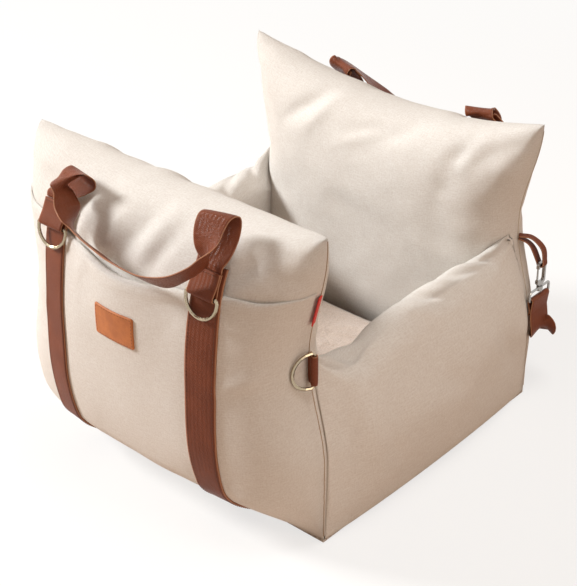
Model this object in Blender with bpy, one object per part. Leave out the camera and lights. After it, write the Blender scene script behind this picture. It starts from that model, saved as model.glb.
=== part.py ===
"""Dog car bed: a stuffed travel bed with two pillow walls, two side bolsters, webbing handles and a fixing strap.

Metres, +Z up. The origin is on the floor under the middle of the bed. The front wall faces -Y.
The front wall and the back wall are tall pillows with pointed ears; the two bolsters between them are lower.
"""
import math

import bmesh
import bpy
from mathutils import Matrix, Vector
from mathutils.geometry import tessellate_polygon

# Body, corner seam to corner seam
BODY_WIDTH = 0.470
BODY_DEPTH = 0.434
FRONT_HEIGHT = 0.428
BACK_HEIGHT = 0.421
TOP_SAG = 0.014
BACK_TOP_SAG = 0.044
OUT_BULGE = 0.101
IN_BULGE = 0.092
FOOT_TUCK = 0.080
PINCH_DEPTH = 0.026
PINCH_HEIGHT = 0.262
PINCH_REACH = 0.150
EAR_FLARE = 0.008
BACK_LEAN = 0.018

# Side bolsters
SIDE_HEIGHT = 0.252
BOLSTER_WIDTH = 0.062
SIDE_BULGE = 0.026
BOLSTER_END_CROWN = 0.25
BOLSTER_DIP = 0.022
BOLSTER_DIP_SHARE = 0.17
BOLSTER_DIP_REACH = 0.20
BOLSTER_FRONT_RISE = 0.008
BOLSTER_END_GAP = 0.0018
SEAM_RELIEF = 0.0022
FOOT_CROWDING = 1.5

# Base panel, covers and their fillings
BASE_THICKNESS = 0.004
COVER_THICKNESS = 0.003
SEAM_ALLOWANCE = 0.009
SOFT_GAP = 0.0009
STEEPEST = 4.0
TOUCH_GAP = 0.0003
FILL_MARGIN = 0.007
WALL_FILL_SLACK = 0.006
WALL_FILL_END_RISE = 0.018
FILL_REST = 0.0005
MOUTH_SHARE = 0.62
ROW_EVENNESS = 0.5

# Seat cushion
SEAT_THICKNESS = 0.100
SEAT_CROWN = 0.012
SEAT_CLEARANCE = 0.004
SEAT_DRAW_IN = 0.010

# Front pocket
POCKET_HEIGHT = 0.352
POCKET_SAG = 0.028
POCKET_THICKNESS = 0.0022
POCKET_HEM = 0.018
POCKET_GAPE = 0.013
POCKET_SIDE = 0.006
POCKET_SEAM = 0.0014
POCKET_FOOT = 0.0024
POCKET_FOOT_REACH = 0.130

# Webbing
WEBBING_WIDTH = 0.040
WEBBING_THICKNESS = 0.0020
STRAP_OFFSET = 0.125
STRAP_HEM = 0.022

# D-rings, hung in folds of webbing
RING_WIRE = 0.0043
RING_WIDTH = 0.052
RING_CORNER = 0.0036
RING_DROP = 0.029
RING_HEIGHT = 0.352
RING_STANDOFF = 0.0003
RING_LEAN = 0.05
KEEPER_HEIGHT = 0.030
KEEPER_SPREAD = 0.0005
CORNER_RING_HEIGHT = 0.250
CORNER_TAB_LEG = 0.007
CORNER_TAB_STANDOFF = 0.0117
CORNER_RING_CLEAR = 0.0145

# Handles
FRONT_LOOP_RISE_LEFT = 0.052
FRONT_LOOP_RISE_RIGHT = 0.074
BACK_LOOP_RISE = 0.046
LOOP_LEAN_LEFT = -0.010
LOOP_LEAN_RIGHT = 0.004
LOOP_FRONT = 0.018
BAND_TWIST_IN = 0.035
BAND_OUT = 0.027
HANDLE_SAG = 0.0185
HANDLE_STANDOFF = 0.024
HANDLE_START = 0.008
HANDLE_GAP = 0.0008

# Leather patch and side tag
PATCH_WIDTH = 0.0645
PATCH_HEIGHT = 0.0425
PATCH_THICKNESS = 0.0018
PATCH_OFFSET = -0.0020
PATCH_CENTRE_HEIGHT = 0.268
TAG_LENGTH = 0.040
TAG_REACH = 0.009
TAG_THICKNESS = 0.0008
TAG_TOP_HEIGHT = 0.352
TAG_STANDOFF = 0.0011

# Rear loops, snap hooks and fixing strap
HANG_OUT = 0.0045
HANG_BEHIND = 0.012
HANG_HEIGHT = 0.206
LOOP_TOP_HEIGHT = 0.244
LOOP_WIDTH = 0.0100
LOOP_STANDOFF = 0.0038
LOOP_SLACK = 0.0013
HOOK_LENGTH = 0.037
HOOK_WIDTH = 0.0185
HOOK_CORNER = 0.0052
HOOK_THICKNESS = 0.0042
HOOK_WALL = 0.0034
HOOK_SHOULDER = 0.0075
NOSE_LENGTH = 0.0030
EAR_THICKNESS = 0.0011
PIN_RADIUS = 0.0007
PIN_CLEARANCE = 0.0003
GATE_WIDTH = 0.0030
POST_RADIUS = 0.0022
POST_HEAD_RADIUS = 0.0040
POST_HEAD_HEIGHT = 0.0018
COLLAR_RADIUS = 0.0044
COLLAR_HEIGHT = 0.0052
EYE_WIRE = 0.0036
EYE_HEIGHT = 0.0180
STRAP_TAIL = 0.022
STRAP_TURN_HEIGHT = 0.108
STRAP_LEVEL = 0.086
STRAP_STANDOFF = 0.0120

COLOURS = {
    "canvas": ((0.80, 0.74, 0.66), 0.85, 0.0),
    "filling": ((0.88, 0.88, 0.87), 0.95, 0.0),
    "plush": ((0.72, 0.57, 0.47), 0.95, 0.0),
    "base_cloth": ((0.10, 0.09, 0.08), 0.80, 0.0),
    "webbing": ((0.20, 0.065, 0.035), 0.55, 0.0),
    "leather": ((0.52, 0.19, 0.06), 0.50, 0.0),
    "tag": ((0.65, 0.03, 0.02), 0.70, 0.0),
    "ring_metal": ((0.62, 0.55, 0.43), 0.28, 1.0),
    "hook_metal": ((0.66, 0.65, 0.63), 0.25, 1.0),
}


def clear_scene():
    for item in list(bpy.data.objects):
        bpy.data.objects.remove(item, do_unlink=True)


def material(name):
    found = bpy.data.materials.get(name)
    if found:
        return found
    colour, roughness, metallic = COLOURS[name]
    made = bpy.data.materials.new(name)
    made.use_nodes = True
    shader = made.node_tree.nodes["Principled BSDF"]
    shader.inputs["Base Color"].default_value = (*colour, 1.0)
    shader.inputs["Roughness"].default_value = roughness
    shader.inputs["Metallic"].default_value = metallic
    return made


def add_object(name, mesh, finish):
    item = bpy.data.objects.new(name, mesh)
    bpy.context.collection.objects.link(item)
    mesh.materials.append(material(finish))
    return item


def add_mesh(name, points, faces, finish, origin=(0.0, 0.0, 0.0)):
    """An object whose mesh is given in world places, with its own origin put at a joint or a seat."""
    mesh = bpy.data.meshes.new(name)
    shift = Vector(origin)
    mesh.from_pydata([Vector(p) - shift for p in points], [], faces)
    work = bmesh.new()
    work.from_mesh(mesh)
    bmesh.ops.remove_doubles(work, verts=work.verts, dist=1e-6)
    bmesh.ops.recalc_face_normals(work, faces=work.faces)
    if work.calc_volume(signed=True) < 0.0:
        bmesh.ops.reverse_faces(work, faces=work.faces)
    work.to_mesh(mesh)
    work.free()
    mesh.shade_smooth()
    mesh.set_sharp_from_angle(angle=math.radians(40))
    item = add_object(name, mesh, finish)
    item.location = shift
    return item


def superellipse(share, power):
    """1 in the middle and 0 at a share of 1, full in between."""
    return max(0.0, 1.0 - abs(share) ** power) ** (1.0 / power)


def smooth_bump(distance, reach):
    """1 at no distance, falling smoothly to 0 at the reach."""
    if abs(distance) >= reach:
        return 0.0
    return 0.5 + 0.5 * math.cos(math.pi * distance / reach)


def mix(a, b, share):
    return a + (b - a) * share


class Wall:
    """One pillow wall as two curved faces over (x, z). Side is -1 for the front wall and +1 for the back wall."""

    FLOOR = BASE_THICKNESS + TOUCH_GAP
    BELLY = 0.47

    def __init__(self, side, height, lean, flare, sag, boxiness):
        self.side = side
        self.height = height
        self.lean = lean
        self.flare = flare
        self.sag = sag
        self.boxiness = boxiness

    def edge_x(self, z):
        """Half width at a height: pinched where the bolster's top meets it, and flared at the ear."""
        pinch = PINCH_DEPTH * smooth_bump(z - PINCH_HEIGHT, PINCH_REACH)
        return BODY_WIDTH / 2 - pinch + self.flare * max(0.0, z / self.height) ** 6

    def seam_y(self, z):
        """Distance of the seam plane from the middle of the bed."""
        return BODY_DEPTH / 2 - self.lean * max(0.0, z / self.height) ** 2

    def top_z(self, across):
        return self.height - self.sag * (1.0 - across * across)

    def fullness(self, across, up, outside):
        """Share of the bulge at a share of the half width and a share of the height.

        The outer face is boxier across, and tucks in to its seam over the bed's foot.
        """
        if up > self.BELLY:
            rise = (up - self.BELLY) / (1.0 - self.BELLY)
        else:
            rise = (self.BELLY - up) / (self.BELLY + 0.015)
        if not outside:
            return superellipse(across, 1.9) * superellipse(rise, 2.4)
        tuck = 1.0 - max(0.0, 1.0 - up * self.height / FOOT_TUCK) ** 2
        return superellipse(across, self.boxiness) * superellipse(rise, 2.4 if up > self.BELLY else 2.2) * tuck

    def point(self, across, up, bulge, inset=0.0):
        """A place on the wall: bulge is positive outwards and negative into the bed."""
        low = self.FLOOR
        top = self.top_z(across) - inset
        z = mix(low, top, up)
        x = across * (self.edge_x(z) - inset)
        return (x, self.side * (self.seam_y(z) + bulge * self.fullness(across, up, bulge > 0)), z)

    def surface_y(self, x, z, bulge, standoff=0.0):
        """The place of a face over (x, z), stood off along its own normal by about the standoff."""

        def height_at(px, pz):
            across = max(-1.0, min(1.0, px / self.edge_x(pz)))
            up = max(0.0, min(1.0, (pz - self.FLOOR) / (self.top_z(across) - self.FLOOR)))
            return self.seam_y(pz) + bulge * self.fullness(across, up, bulge > 0)

        step = 0.002
        slope_x = (height_at(x + step, z) - height_at(x - step, z)) / (2 * step)
        slope_z = (height_at(x, z + step) - height_at(x, z - step)) / (2 * step)
        slant = min(STEEPEST, math.sqrt(1.0 + slope_x * slope_x + slope_z * slope_z))
        sign = 1.0 if bulge > 0 else -1.0
        return self.side * (height_at(x, z) + sign * standoff * slant)


FRONT = Wall(-1, FRONT_HEIGHT, 0.0, 0.0, TOP_SAG, 2.7)
BACK = Wall(1, BACK_HEIGHT, BACK_LEAN, EAR_FLARE, BACK_TOP_SAG, 1.8)


def eased(count, low_angle, high_angle):
    """Places from sin(low) to sin(high), closer together near a quarter turn."""
    return [math.sin(mix(low_angle, high_angle, i / count)) for i in range(count + 1)]


def pillow_grid(wall, columns, rows, inset, thinner):
    """Points and faces of the closed pillow; the last faces are its flat bottom."""
    across = eased(columns, -math.pi / 2, math.pi / 2)
    start = -math.asin(wall.BELLY / (wall.BELLY + 0.015))
    up = []
    for k, crowded in enumerate(eased(rows, start, math.pi / 2)):
        s = mix(crowded, mix(math.sin(start), 1.0, k / rows), ROW_EVENNESS)
        up.append(wall.BELLY + s * (1.0 - wall.BELLY) if s > 0 else wall.BELLY + s * (wall.BELLY + 0.015))
    points = []
    index = {}
    for face, bulge in (("out", OUT_BULGE - thinner), ("in", -(IN_BULGE - thinner))):
        for j, v in enumerate(up):
            for i, u in enumerate(across):
                on_seam = i in (0, columns) or j == rows
                if face == "in" and on_seam:
                    index[face, i, j] = index["out", i, j]
                    continue
                index[face, i, j] = len(points)
                points.append(wall.point(u, v, bulge, inset))
    faces = []
    for face in ("out", "in"):
        for j in range(rows):
            for i in range(columns):
                a, b = index[face, i, j], index[face, i + 1, j]
                c, d = index[face, i + 1, j + 1], index[face, i, j + 1]
                faces.append((a, b, c, d) if face == "out" else (d, c, b, a))
    bottom_start = len(faces)
    for i in range(columns):
        ring = [index["out", i, 0], index["in", i, 0], index["in", i + 1, 0], index["out", i + 1, 0]]
        faces.append(tuple(dict.fromkeys(ring)))
    return points, faces, list(range(bottom_start, len(faces)))


def hollow(outer, inner, faces, mouth):
    """A shell between two like surfaces, open where the mouth's faces are left out of both."""
    offset = len(outer)
    kept = [f for n, f in enumerate(faces) if n not in mouth]
    joined = list(kept)
    joined += [tuple(reversed([i + offset for i in f])) for f in kept]
    edges = {}
    for n in mouth:
        face = faces[n]
        for a, b in zip(face, face[1:] + face[:1]):
            edges[frozenset((a, b))] = edges.get(frozenset((a, b)), []) + [(a, b)]
    for uses in edges.values():
        if len(uses) == 1:
            a, b = uses[0]
            joined.append((a, b, b + offset, a + offset))
    return list(outer) + list(inner), joined


def lifted(points, amount, low, end_rise=0.0):
    """The same points with the lowest ones raised off the cover's own bottom, most at the wall's ends."""
    return [(x, y, max(z, low + amount + end_rise * (2.0 * x / BODY_WIDTH) ** 4)) for x, y, z in points]


def wall_pieces(prefix, wall):
    """A wall's cover, a canvas shell with a zip mouth underneath, and the stuffed filling in it."""
    columns, rows = 16, 14
    outer, faces, bottom = pillow_grid(wall, columns, rows, 0.0, 0.0)
    inner, _, _ = pillow_grid(wall, columns, rows, SEAM_ALLOWANCE, COVER_THICKNESS)
    inner = lifted(inner, COVER_THICKNESS, wall.FLOOR)
    middle = len(bottom) / 2
    mouth = [n for k, n in enumerate(bottom) if abs(k + 0.5 - middle) < middle * MOUTH_SHARE]
    points, shell = hollow(outer, inner, faces, mouth)
    add_mesh(prefix + "_cover", points, shell, "canvas")
    deeper = SEAM_ALLOWANCE + FILL_MARGIN
    core, core_faces, _ = pillow_grid(wall, 10, 8, deeper, deeper + WALL_FILL_SLACK)
    core = lifted(core, COVER_THICKNESS + SOFT_GAP, wall.FLOOR, WALL_FILL_END_RISE)
    add_mesh(prefix + "_filling", core, core_faces, "filling")


def bolster_top_z(across, share, swell):
    """Height of the top: crowned over its width where it swells, and dipped a little behind the front wall."""
    crown = BOLSTER_WIDTH / 2 * mix(BOLSTER_END_CROWN, 1.0, swell)
    dip = BOLSTER_DIP * smooth_bump(share - BOLSTER_DIP_SHARE, BOLSTER_DIP_REACH)
    end = BOLSTER_FRONT_RISE * (2.0 * share - 1.0) ** 4
    return SIDE_HEIGHT + end - dip - crown + crown * superellipse(across, 2.4)


def box_grid(size, place):
    """Points and faces on the skin of a box of cells, each lattice corner put by the place function."""
    columns, stations, rows = size
    index = {}
    points = []
    for key in ((i, s, j) for i in range(columns + 1) for s in range(stations + 1) for j in range(rows + 1)):
        on_skin = any(k in (0, n) for k, n in zip(key, size))
        if on_skin:
            index[key] = len(points)
            points.append(place(key[0] / columns, key[1] / stations, key[2] / rows))
    faces = []
    groups = {}
    for axis in range(3):
        b, c = (axis + 1) % 3, (axis + 2) % 3
        for end in (0, size[axis]):
            groups[axis, end > 0] = []
            for m in range(size[b]):
                for n in range(size[c]):
                    quad = []
                    for dm, dn in ((0, 0), (1, 0), (1, 1), (0, 1)):
                        key = [0, 0, 0]
                        key[axis], key[b], key[c] = end, m + dm, n + dn
                        quad.append(index[tuple(key)])
                    groups[axis, end > 0].append(len(faces))
                    faces.append(tuple(quad) if end else tuple(reversed(quad)))
    return points, faces, groups


def bolster_grid(hand, size, inset, end_gap):
    """Points and faces of one bolster, lofted between the inner faces of the two walls."""

    def place(column, station, row):
        across = math.sin(math.pi / 2 * (2 * column - 1))
        share = 0.5 + 0.5 * math.sin(math.pi / 2 * (2 * station - 1))
        low = BASE_THICKNESS + TOUCH_GAP + inset
        swell = max(0.0, 4.0 * share * (1.0 - share)) ** 0.75
        z = mix(low, bolster_top_z(across, share, swell) - inset, row ** FOOT_CROWDING)
        outer = min(FRONT.edge_x(z), BACK.edge_x(z)) - inset
        inner = BODY_WIDTH / 2 - BOLSTER_WIDTH + inset
        rise = (z - BASE_THICKNESS) / SIDE_HEIGHT
        outer += SIDE_BULGE * superellipse(min(1.0, abs(2.0 * rise - 0.95)), 2.0) * swell
        x = mix(inner, outer, 0.5 + 0.5 * across)
        gap = end_gap + SEAM_RELIEF * max(0.0, across) ** 8
        front = FRONT.surface_y(x, z, -IN_BULGE, gap)
        back = BACK.surface_y(x, z, -IN_BULGE, gap)
        return (hand * x, mix(front, back, share), z)

    return box_grid(size, place)


def bolster_pieces(prefix, hand):
    """A bolster's cover, a canvas shell with a zip mouth underneath, and its filling."""
    columns, stations, rows = size = (6, 10, 7)
    outer, faces, groups = bolster_grid(hand, size, 0.0, BOLSTER_END_GAP)
    inner, _, _ = bolster_grid(hand, size, COVER_THICKNESS, BOLSTER_END_GAP + COVER_THICKNESS)
    underneath = groups[2, False]
    mouth = []
    for column in (columns // 2 - 1, columns // 2):
        mouth += underneath[column * stations + 2 : (column + 1) * stations - 2]
    points, shell = hollow(outer, inner, faces, mouth)
    add_mesh(prefix + "_cover", points, shell, "canvas")
    depth = COVER_THICKNESS + FILL_MARGIN
    core, core_faces, _ = bolster_grid(hand, (4, 5, 5), depth, BOLSTER_END_GAP + depth)
    core = [(x, y, z - FILL_MARGIN + FILL_REST) for x, y, z in core]
    add_mesh(prefix + "_filling", core, core_faces, "filling")


def base_panel():
    """The flat non-slip bottom, with the outline of the walls' and bolsters' feet."""
    rim = []
    turns = 10
    for wall, order in ((FRONT, 1), (BACK, -1)):
        for k in range(turns + 1):
            across = order * math.sin(math.pi / 2 * (2 * k / turns - 1))
            x, y, _ = wall.point(across, 0.0, OUT_BULGE)
            rim.append((x, y))
    points = [(x, y, 0.0) for x, y in rim] + [(x, y, BASE_THICKNESS) for x, y in rim]
    count = len(rim)
    faces = [tuple(reversed(range(count))), tuple(range(count, 2 * count))]
    for k in range(count):
        n = (k + 1) % count
        faces.append((k, n, n + count, k + count))
    add_mesh("base_panel", points, faces, "base_cloth")


SEAT_FLOOR = BASE_THICKNESS + TOUCH_GAP
SEAT_HALF_X = BODY_WIDTH / 2 - BOLSTER_WIDTH - SEAT_CLEARANCE
SEAT_CENTRE_Y = -BACK_LEAN * 0.18
SEAT_HALF_Y = BODY_DEPTH / 2 - IN_BULGE - SEAT_CLEARANCE + SEAT_CENTRE_Y


def seat_grid(cells, bands, inset):
    """Closed crowned cushion: flat underneath, sides drawn in between its corners, domed on top."""
    points = []
    index = {}
    levels = [k / bands for k in range(bands + 1)]

    def edge_place(a, b, level):
        """A place on the rim: a and b run from -1 to 1, and one of them is at an end."""
        belly = SEAT_DRAW_IN * 0.5 * math.sin(math.pi * level)
        draw = SEAT_DRAW_IN
        half_x = SEAT_HALF_X - inset - draw * (1.0 - b * b) * 0.5 + belly - SEAT_DRAW_IN * 0.5
        room = IN_BULGE * (1.0 - superellipse(a * SEAT_HALF_X / (BODY_WIDTH / 2), 1.9))
        half_y = SEAT_HALF_Y + room - inset + belly - SEAT_DRAW_IN * 0.5
        return a * half_x, SEAT_CENTRE_Y + b * half_y

    low = SEAT_FLOOR + inset
    high = SEAT_FLOOR + SEAT_THICKNESS - SEAT_CROWN - inset
    grid = eased(cells, -math.pi / 2, math.pi / 2)
    for side in ("under", "over"):
        level = 0.0 if side == "under" else 1.0
        for j, b in enumerate(grid):
            for i, a in enumerate(grid):
                x, y = edge_place(a, b, level)
                dome = SEAT_CROWN * superellipse(a, 2.4) * superellipse(b, 2.4)
                z = low if side == "under" else high + dome
                index[side, i, j] = len(points)
                points.append((x, y, z))
    faces = []
    for side in ("under", "over"):
        for j in range(cells):
            for i in range(cells):
                quad = [index[side, i, j], index[side, i + 1, j]]
                quad += [index[side, i + 1, j + 1], index[side, i, j + 1]]
                faces.append(tuple(quad) if side == "over" else tuple(reversed(quad)))
    rim = [(i, 0) for i in range(cells)] + [(cells, j) for j in range(cells)]
    rim += [(i, cells) for i in range(cells, 0, -1)] + [(0, j) for j in range(cells, 0, -1)]
    rings = [[index["under", i, j] for i, j in rim]]
    for level in levels[1:-1]:
        ring = []
        for i, j in rim:
            x, y = edge_place(grid[i], grid[j], level)
            ring.append(len(points))
            points.append((x, y, mix(low, high, level)))
        rings.append(ring)
    rings.append([index["over", i, j] for i, j in rim])
    mouth = []
    count = len(rim)
    for band in range(bands):
        for k in range(count):
            n = (k + 1) % count
            i, j = rim[k]
            if band == 1 and j == cells and 2 < i < cells - 1:
                mouth.append(len(faces))
            faces.append((rings[band][k], rings[band][n], rings[band + 1][n], rings[band + 1][k]))
    return points, faces, mouth


def seat_pieces():
    """The lift-out cushion: a plush cover, open at the zip behind, and the foam block in it."""
    outer, faces, mouth = seat_grid(10, 4, 0.0)
    inner, _, _ = seat_grid(10, 4, COVER_THICKNESS)
    points, shell = hollow(outer, inner, faces, mouth)
    origin = (0.0, 0.0, SEAT_FLOOR)
    add_mesh("seat_cushion_cover", points, shell, "plush", origin)
    core, core_faces, _ = seat_grid(8, 2, COVER_THICKNESS + FILL_MARGIN / 2)
    core = [(x, y, z - FILL_MARGIN / 2 + FILL_REST) for x, y, z in core]
    add_mesh("seat_cushion_foam", core, core_faces, "filling", origin)


def pocket_standoff(x, z, mouth_z):
    """The pocket lies on the wall and gapes a little at its mouth between the straps."""
    reach = STRAP_OFFSET - WEBBING_WIDTH / 2
    gape = smooth_bump(x, reach) * smooth_bump(mouth_z - z, POCKET_HEIGHT * 0.45)
    side_seam = (abs(x) / FRONT.edge_x(z)) ** 6
    foot = smooth_bump(z - POCKET_HEM, POCKET_FOOT_REACH)
    return SOFT_GAP + POCKET_SEAM * side_seam + POCKET_FOOT * foot + POCKET_GAPE * gape


def pocket_mouth_z(x):
    return POCKET_HEIGHT - POCKET_SAG * smooth_bump(x, STRAP_OFFSET + WEBBING_WIDTH)


def pocket_face_y(x, z, standoff=0.0):
    """The outer face of the pocket panel over (x, z)."""
    total = pocket_standoff(x, z, pocket_mouth_z(x)) + POCKET_THICKNESS + standoff
    return FRONT.surface_y(x, z, OUT_BULGE, total)


def sheet(name, place_x, heights, rows, back_y, front_y, finish, crowding=1.0):
    """A closed thin panel between two faces. Each column has its own low and high edge."""
    points = []
    columns = len(heights)
    for face_y in (back_y, front_y):
        for k in range(rows + 1):
            for i, (low, high) in enumerate(heights):
                z = mix(low, high, (k / rows) ** crowding)
                x = place_x(i, z)
                points.append((x, face_y(x, z), z))
    size = columns * (rows + 1)
    faces = []
    for layer in (0, 1):
        for k in range(rows):
            for i in range(columns - 1):
                a = layer * size + k * columns + i
                quad = (a, a + 1, a + 1 + columns, a + columns)
                faces.append(quad if layer else tuple(reversed(quad)))
    rim = list(range(columns)) + [k * columns + columns - 1 for k in range(1, rows + 1)]
    rim += [rows * columns + i for i in range(columns - 2, -1, -1)] + [k * columns for k in range(rows - 1, 0, -1)]
    for k, a in enumerate(rim):
        b = rim[(k + 1) % len(rim)]
        faces.append((a, b, b + size, a + size))
    return add_mesh(name, points, faces, finish)


def front_pocket():
    """The panel sewn over the lower front wall, open along its sagging top hem."""
    shares = eased(18, -math.pi / 2, math.pi / 2)
    narrow = BODY_WIDTH / 2 - PINCH_DEPTH - POCKET_SIDE
    heights = [(POCKET_HEM, pocket_mouth_z(share * narrow)) for share in shares]

    def place_x(k, z):
        return shares[k] * (FRONT.edge_x(z) - POCKET_SIDE)

    def back_y(x, z):
        return FRONT.surface_y(x, z, OUT_BULGE, pocket_standoff(x, z, pocket_mouth_z(x)))

    sheet("front_pocket", place_x, heights, 14, back_y, pocket_face_y, "canvas", 1.25)


def front_face_y(x, z, standoff):
    return pocket_face_y(x, z, standoff)


def back_face_y(x, z, standoff):
    return BACK.surface_y(x, z, OUT_BULGE, standoff)


STRAP_SHARE = 2 * STRAP_OFFSET / BODY_WIDTH
RING_Z = {"front": RING_HEIGHT, "back": RING_HEIGHT + BACK.top_z(STRAP_SHARE) - FRONT.top_z(STRAP_SHARE)}
FACE_Y = {"front": front_face_y, "back": back_face_y}
BED_SIDE = {"front": -1.0, "back": 1.0}
LOOP_RISES = {
    "front": (FRONT_LOOP_RISE_LEFT, FRONT_LOOP_RISE_RIGHT),
    "back": (BACK_LOOP_RISE, BACK_LOOP_RISE),
}


def sewn_strap(side, hand_name, hand):
    """Webbing sewn up the outside, from the base hem to just above its ring."""
    face_y = FACE_Y[side]

    def under_y(x, z):
        return face_y(x, z, SOFT_GAP)

    def over_y(x, z):
        return face_y(x, z, SOFT_GAP + WEBBING_THICKNESS)

    def place_x(k, z):
        return hand * STRAP_OFFSET + WEBBING_WIDTH / 2 * (k - 1)

    heights = [(STRAP_HEM, RING_Z[side] + KEEPER_HEIGHT)] * 3
    sheet(f"{side}_strap_{hand_name}", place_x, heights, 24, under_y, over_y, "webbing", 1.25)


def ring_axis(side, hand):
    """The middle of a D-ring's straight bar, in the fold of webbing over the sewn strap."""
    x = hand * STRAP_OFFSET
    z = RING_Z[side]
    reach = SOFT_GAP + WEBBING_THICKNESS + RING_STANDOFF + WEBBING_THICKNESS + RING_WIRE / 2
    nearest = FACE_Y[side](x, z, reach)
    for end in (-1.0, 1.0):
        at_end = FACE_Y[side](x + end * WEBBING_WIDTH / 2, z, reach)
        nearest = at_end if abs(at_end) > abs(nearest) else nearest
    return Vector((x, nearest, z))


def d_ring(name, centre, bar_half, across, drop, finish):
    """A D of round wire: straight bar along the across direction, bow hanging along the drop direction."""
    curve = bpy.data.curves.new(name, "CURVE")
    curve.dimensions = "3D"
    curve.bevel_depth = RING_WIRE / 2
    curve.bevel_resolution = 1
    curve.use_fill_caps = True
    across = Vector(across).normalized()
    drop = Vector(drop).normalized()
    corner = RING_CORNER
    places = [(0.0, 0.0), (bar_half - corner, 0.0)]
    places += [(bar_half - corner * 0.3, corner * 0.3), (bar_half, corner)]
    straight = RING_DROP - bar_half
    turns = 12
    for k in range(turns + 1):
        turn = math.pi * k / turns
        places.append((bar_half * math.cos(turn), corner + straight * 0.5 + (RING_DROP - corner - straight * 0.5) * math.sin(turn)))
    places += [(-bar_half, corner), (-bar_half + corner * 0.3, corner * 0.3), (-bar_half + corner, 0.0)]
    spline = curve.splines.new("POLY")
    spline.points.add(len(places) - 1)
    for point, (a, d) in zip(spline.points, places):
        point.co = (*(across * a + drop * d), 1.0)
    spline.use_cyclic_u = True
    item = bpy.data.objects.new(name, curve)
    bpy.context.collection.objects.link(item)
    curve.materials.append(material(finish))
    item.location = centre
    return item


def fold_profile(bar_radius, thickness, leg, spread):
    """A webbing fold seen from its side, round a bar at the origin, both legs rising together."""
    inner = bar_radius + TOUCH_GAP
    outer = inner + thickness
    steps = 8
    outline = []
    inner_line = []
    for k in range(steps + 1):
        turn = math.pi * k / steps
        outline.append((outer * math.cos(turn), -outer * math.sin(turn)))
        inner_line.append((inner * math.cos(turn), -inner * math.sin(turn)))
    half_legs = thickness + spread
    neck = leg * 0.35
    outline = [(half_legs, leg), (half_legs + 0.0004, neck)] + outline + [(-half_legs - 0.0004, neck), (-half_legs, leg)]
    inner_line = [(spread, leg), (spread + 0.0004, neck)] + inner_line + [(-spread - 0.0004, neck), (-spread, leg)]
    return outline, inner_line


def extrude_fold(name, centre, bar, depth_direction, rise, length, fold, finish):
    """The fold's profile, run along the bar. Depth is the way out of the bed, rise the way the legs go."""
    outline, inner_line = fold_profile(*fold)
    bar, depth_direction, rise = (Vector(v).normalized() for v in (bar, depth_direction, rise))
    centre = Vector(centre)
    points = []
    for end in (-0.5, 0.5):
        for line in (outline, inner_line):
            for d, r in line:
                points.append(centre + bar * (end * length) + depth_direction * d + rise * r)
    count = len(outline)
    faces = []
    for end in (0, 1):
        base = end * 2 * count
        for k in range(count - 1):
            quad = (base + k, base + k + 1, base + count + k + 1, base + count + k)
            faces.append(quad if end else tuple(reversed(quad)))
    for line in (0, 1):
        for k in range(count - 1):
            a = line * count + k
            b = a + 2 * count
            faces.append((a, a + 1, b + 1, b))
    for k in (0, count - 1):
        a, b = k, k + count
        faces.append((a, b, b + 2 * count, a + 2 * count))
    return add_mesh(name, points, faces, finish, centre)


def keeper_rise(side, hand):
    """The way the keeper's legs climb: up the wall's slope above the ring."""
    x = hand * STRAP_OFFSET
    low = FACE_Y[side](x, RING_Z[side], 0.0)
    high = FACE_Y[side](x, RING_Z[side] + KEEPER_HEIGHT, 0.0)
    return Vector((0.0, high - low, KEEPER_HEIGHT)).normalized()


def keeper_width():
    """The fold fits between the D's rounded corners."""
    return RING_WIDTH - RING_WIRE - 2 * RING_CORNER - 2 * TOUCH_GAP


def ring_set(side):
    out = Vector((0.0, BED_SIDE[side], 0.0))
    for hand_name, hand in (("left", -1.0), ("right", 1.0)):
        sewn_strap(side, hand_name, hand)
        centre = ring_axis(side, hand)
        rise = keeper_rise(side, hand)
        depth_direction = out - rise * out.dot(rise)
        extrude_fold(
            f"{side}_ring_keeper_{hand_name}", centre, (1, 0, 0), depth_direction, rise,
            keeper_width(), (RING_WIRE / 2, WEBBING_THICKNESS, KEEPER_HEIGHT, KEEPER_SPREAD), "webbing",
        )
        lower = FACE_Y[side](centre.x, centre.z - RING_DROP, 0.0)
        slope = (lower - FACE_Y[side](centre.x, centre.z, 0.0)) / RING_DROP
        drop = Vector((0.0, slope - RING_LEAN * BED_SIDE[side], -1.0))
        d_ring(f"{side}_ring_{hand_name}", centre, RING_WIDTH / 2 - RING_WIRE / 2, (1, 0, 0), drop, "ring_metal")


def curve_value(values, station):
    """The Catmull-Rom curve through the values, at a station between 0 and the last value's number."""
    last = len(values) - 1
    k = min(int(station), last - 1)
    t = station - k
    p1, p2 = values[k], values[k + 1]
    p0 = values[k - 1] if k > 0 else p1 * 2 - p2
    p3 = values[k + 2] if k + 2 <= last else p2 * 2 - p1
    straight = p1 * 2 + (p2 - p0) * t
    square = (p0 * 2 - p1 * 5 + p2 * 4 - p3) * t * t
    cube = (p1 * 3 - p0 - p2 * 3 + p3) * t * t * t
    return (straight + square + cube) * 0.5


def smooth_path(places, turns, count):
    """Points spaced evenly along a smooth curve through the places, and the turns at the same stations."""
    steps = 24
    stations = [k / steps for k in range((len(places) - 1) * steps + 1)]
    fine = [curve_value(places, station) for station in stations]
    lengths = [0.0]
    for a, b in zip(fine, fine[1:]):
        lengths.append(lengths[-1] + (b - a).length)
    path = []
    across = []
    k = 0
    for n in range(count):
        goal = lengths[-1] * n / (count - 1)
        while k < len(lengths) - 2 and lengths[k + 1] < goal:
            k += 1
        share = (goal - lengths[k]) / (lengths[k + 1] - lengths[k])
        station = mix(stations[k], stations[k + 1], min(1.0, max(0.0, share)))
        path.append(curve_value(places, station))
        across.append(curve_value(turns, station))
    return path, across


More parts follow.
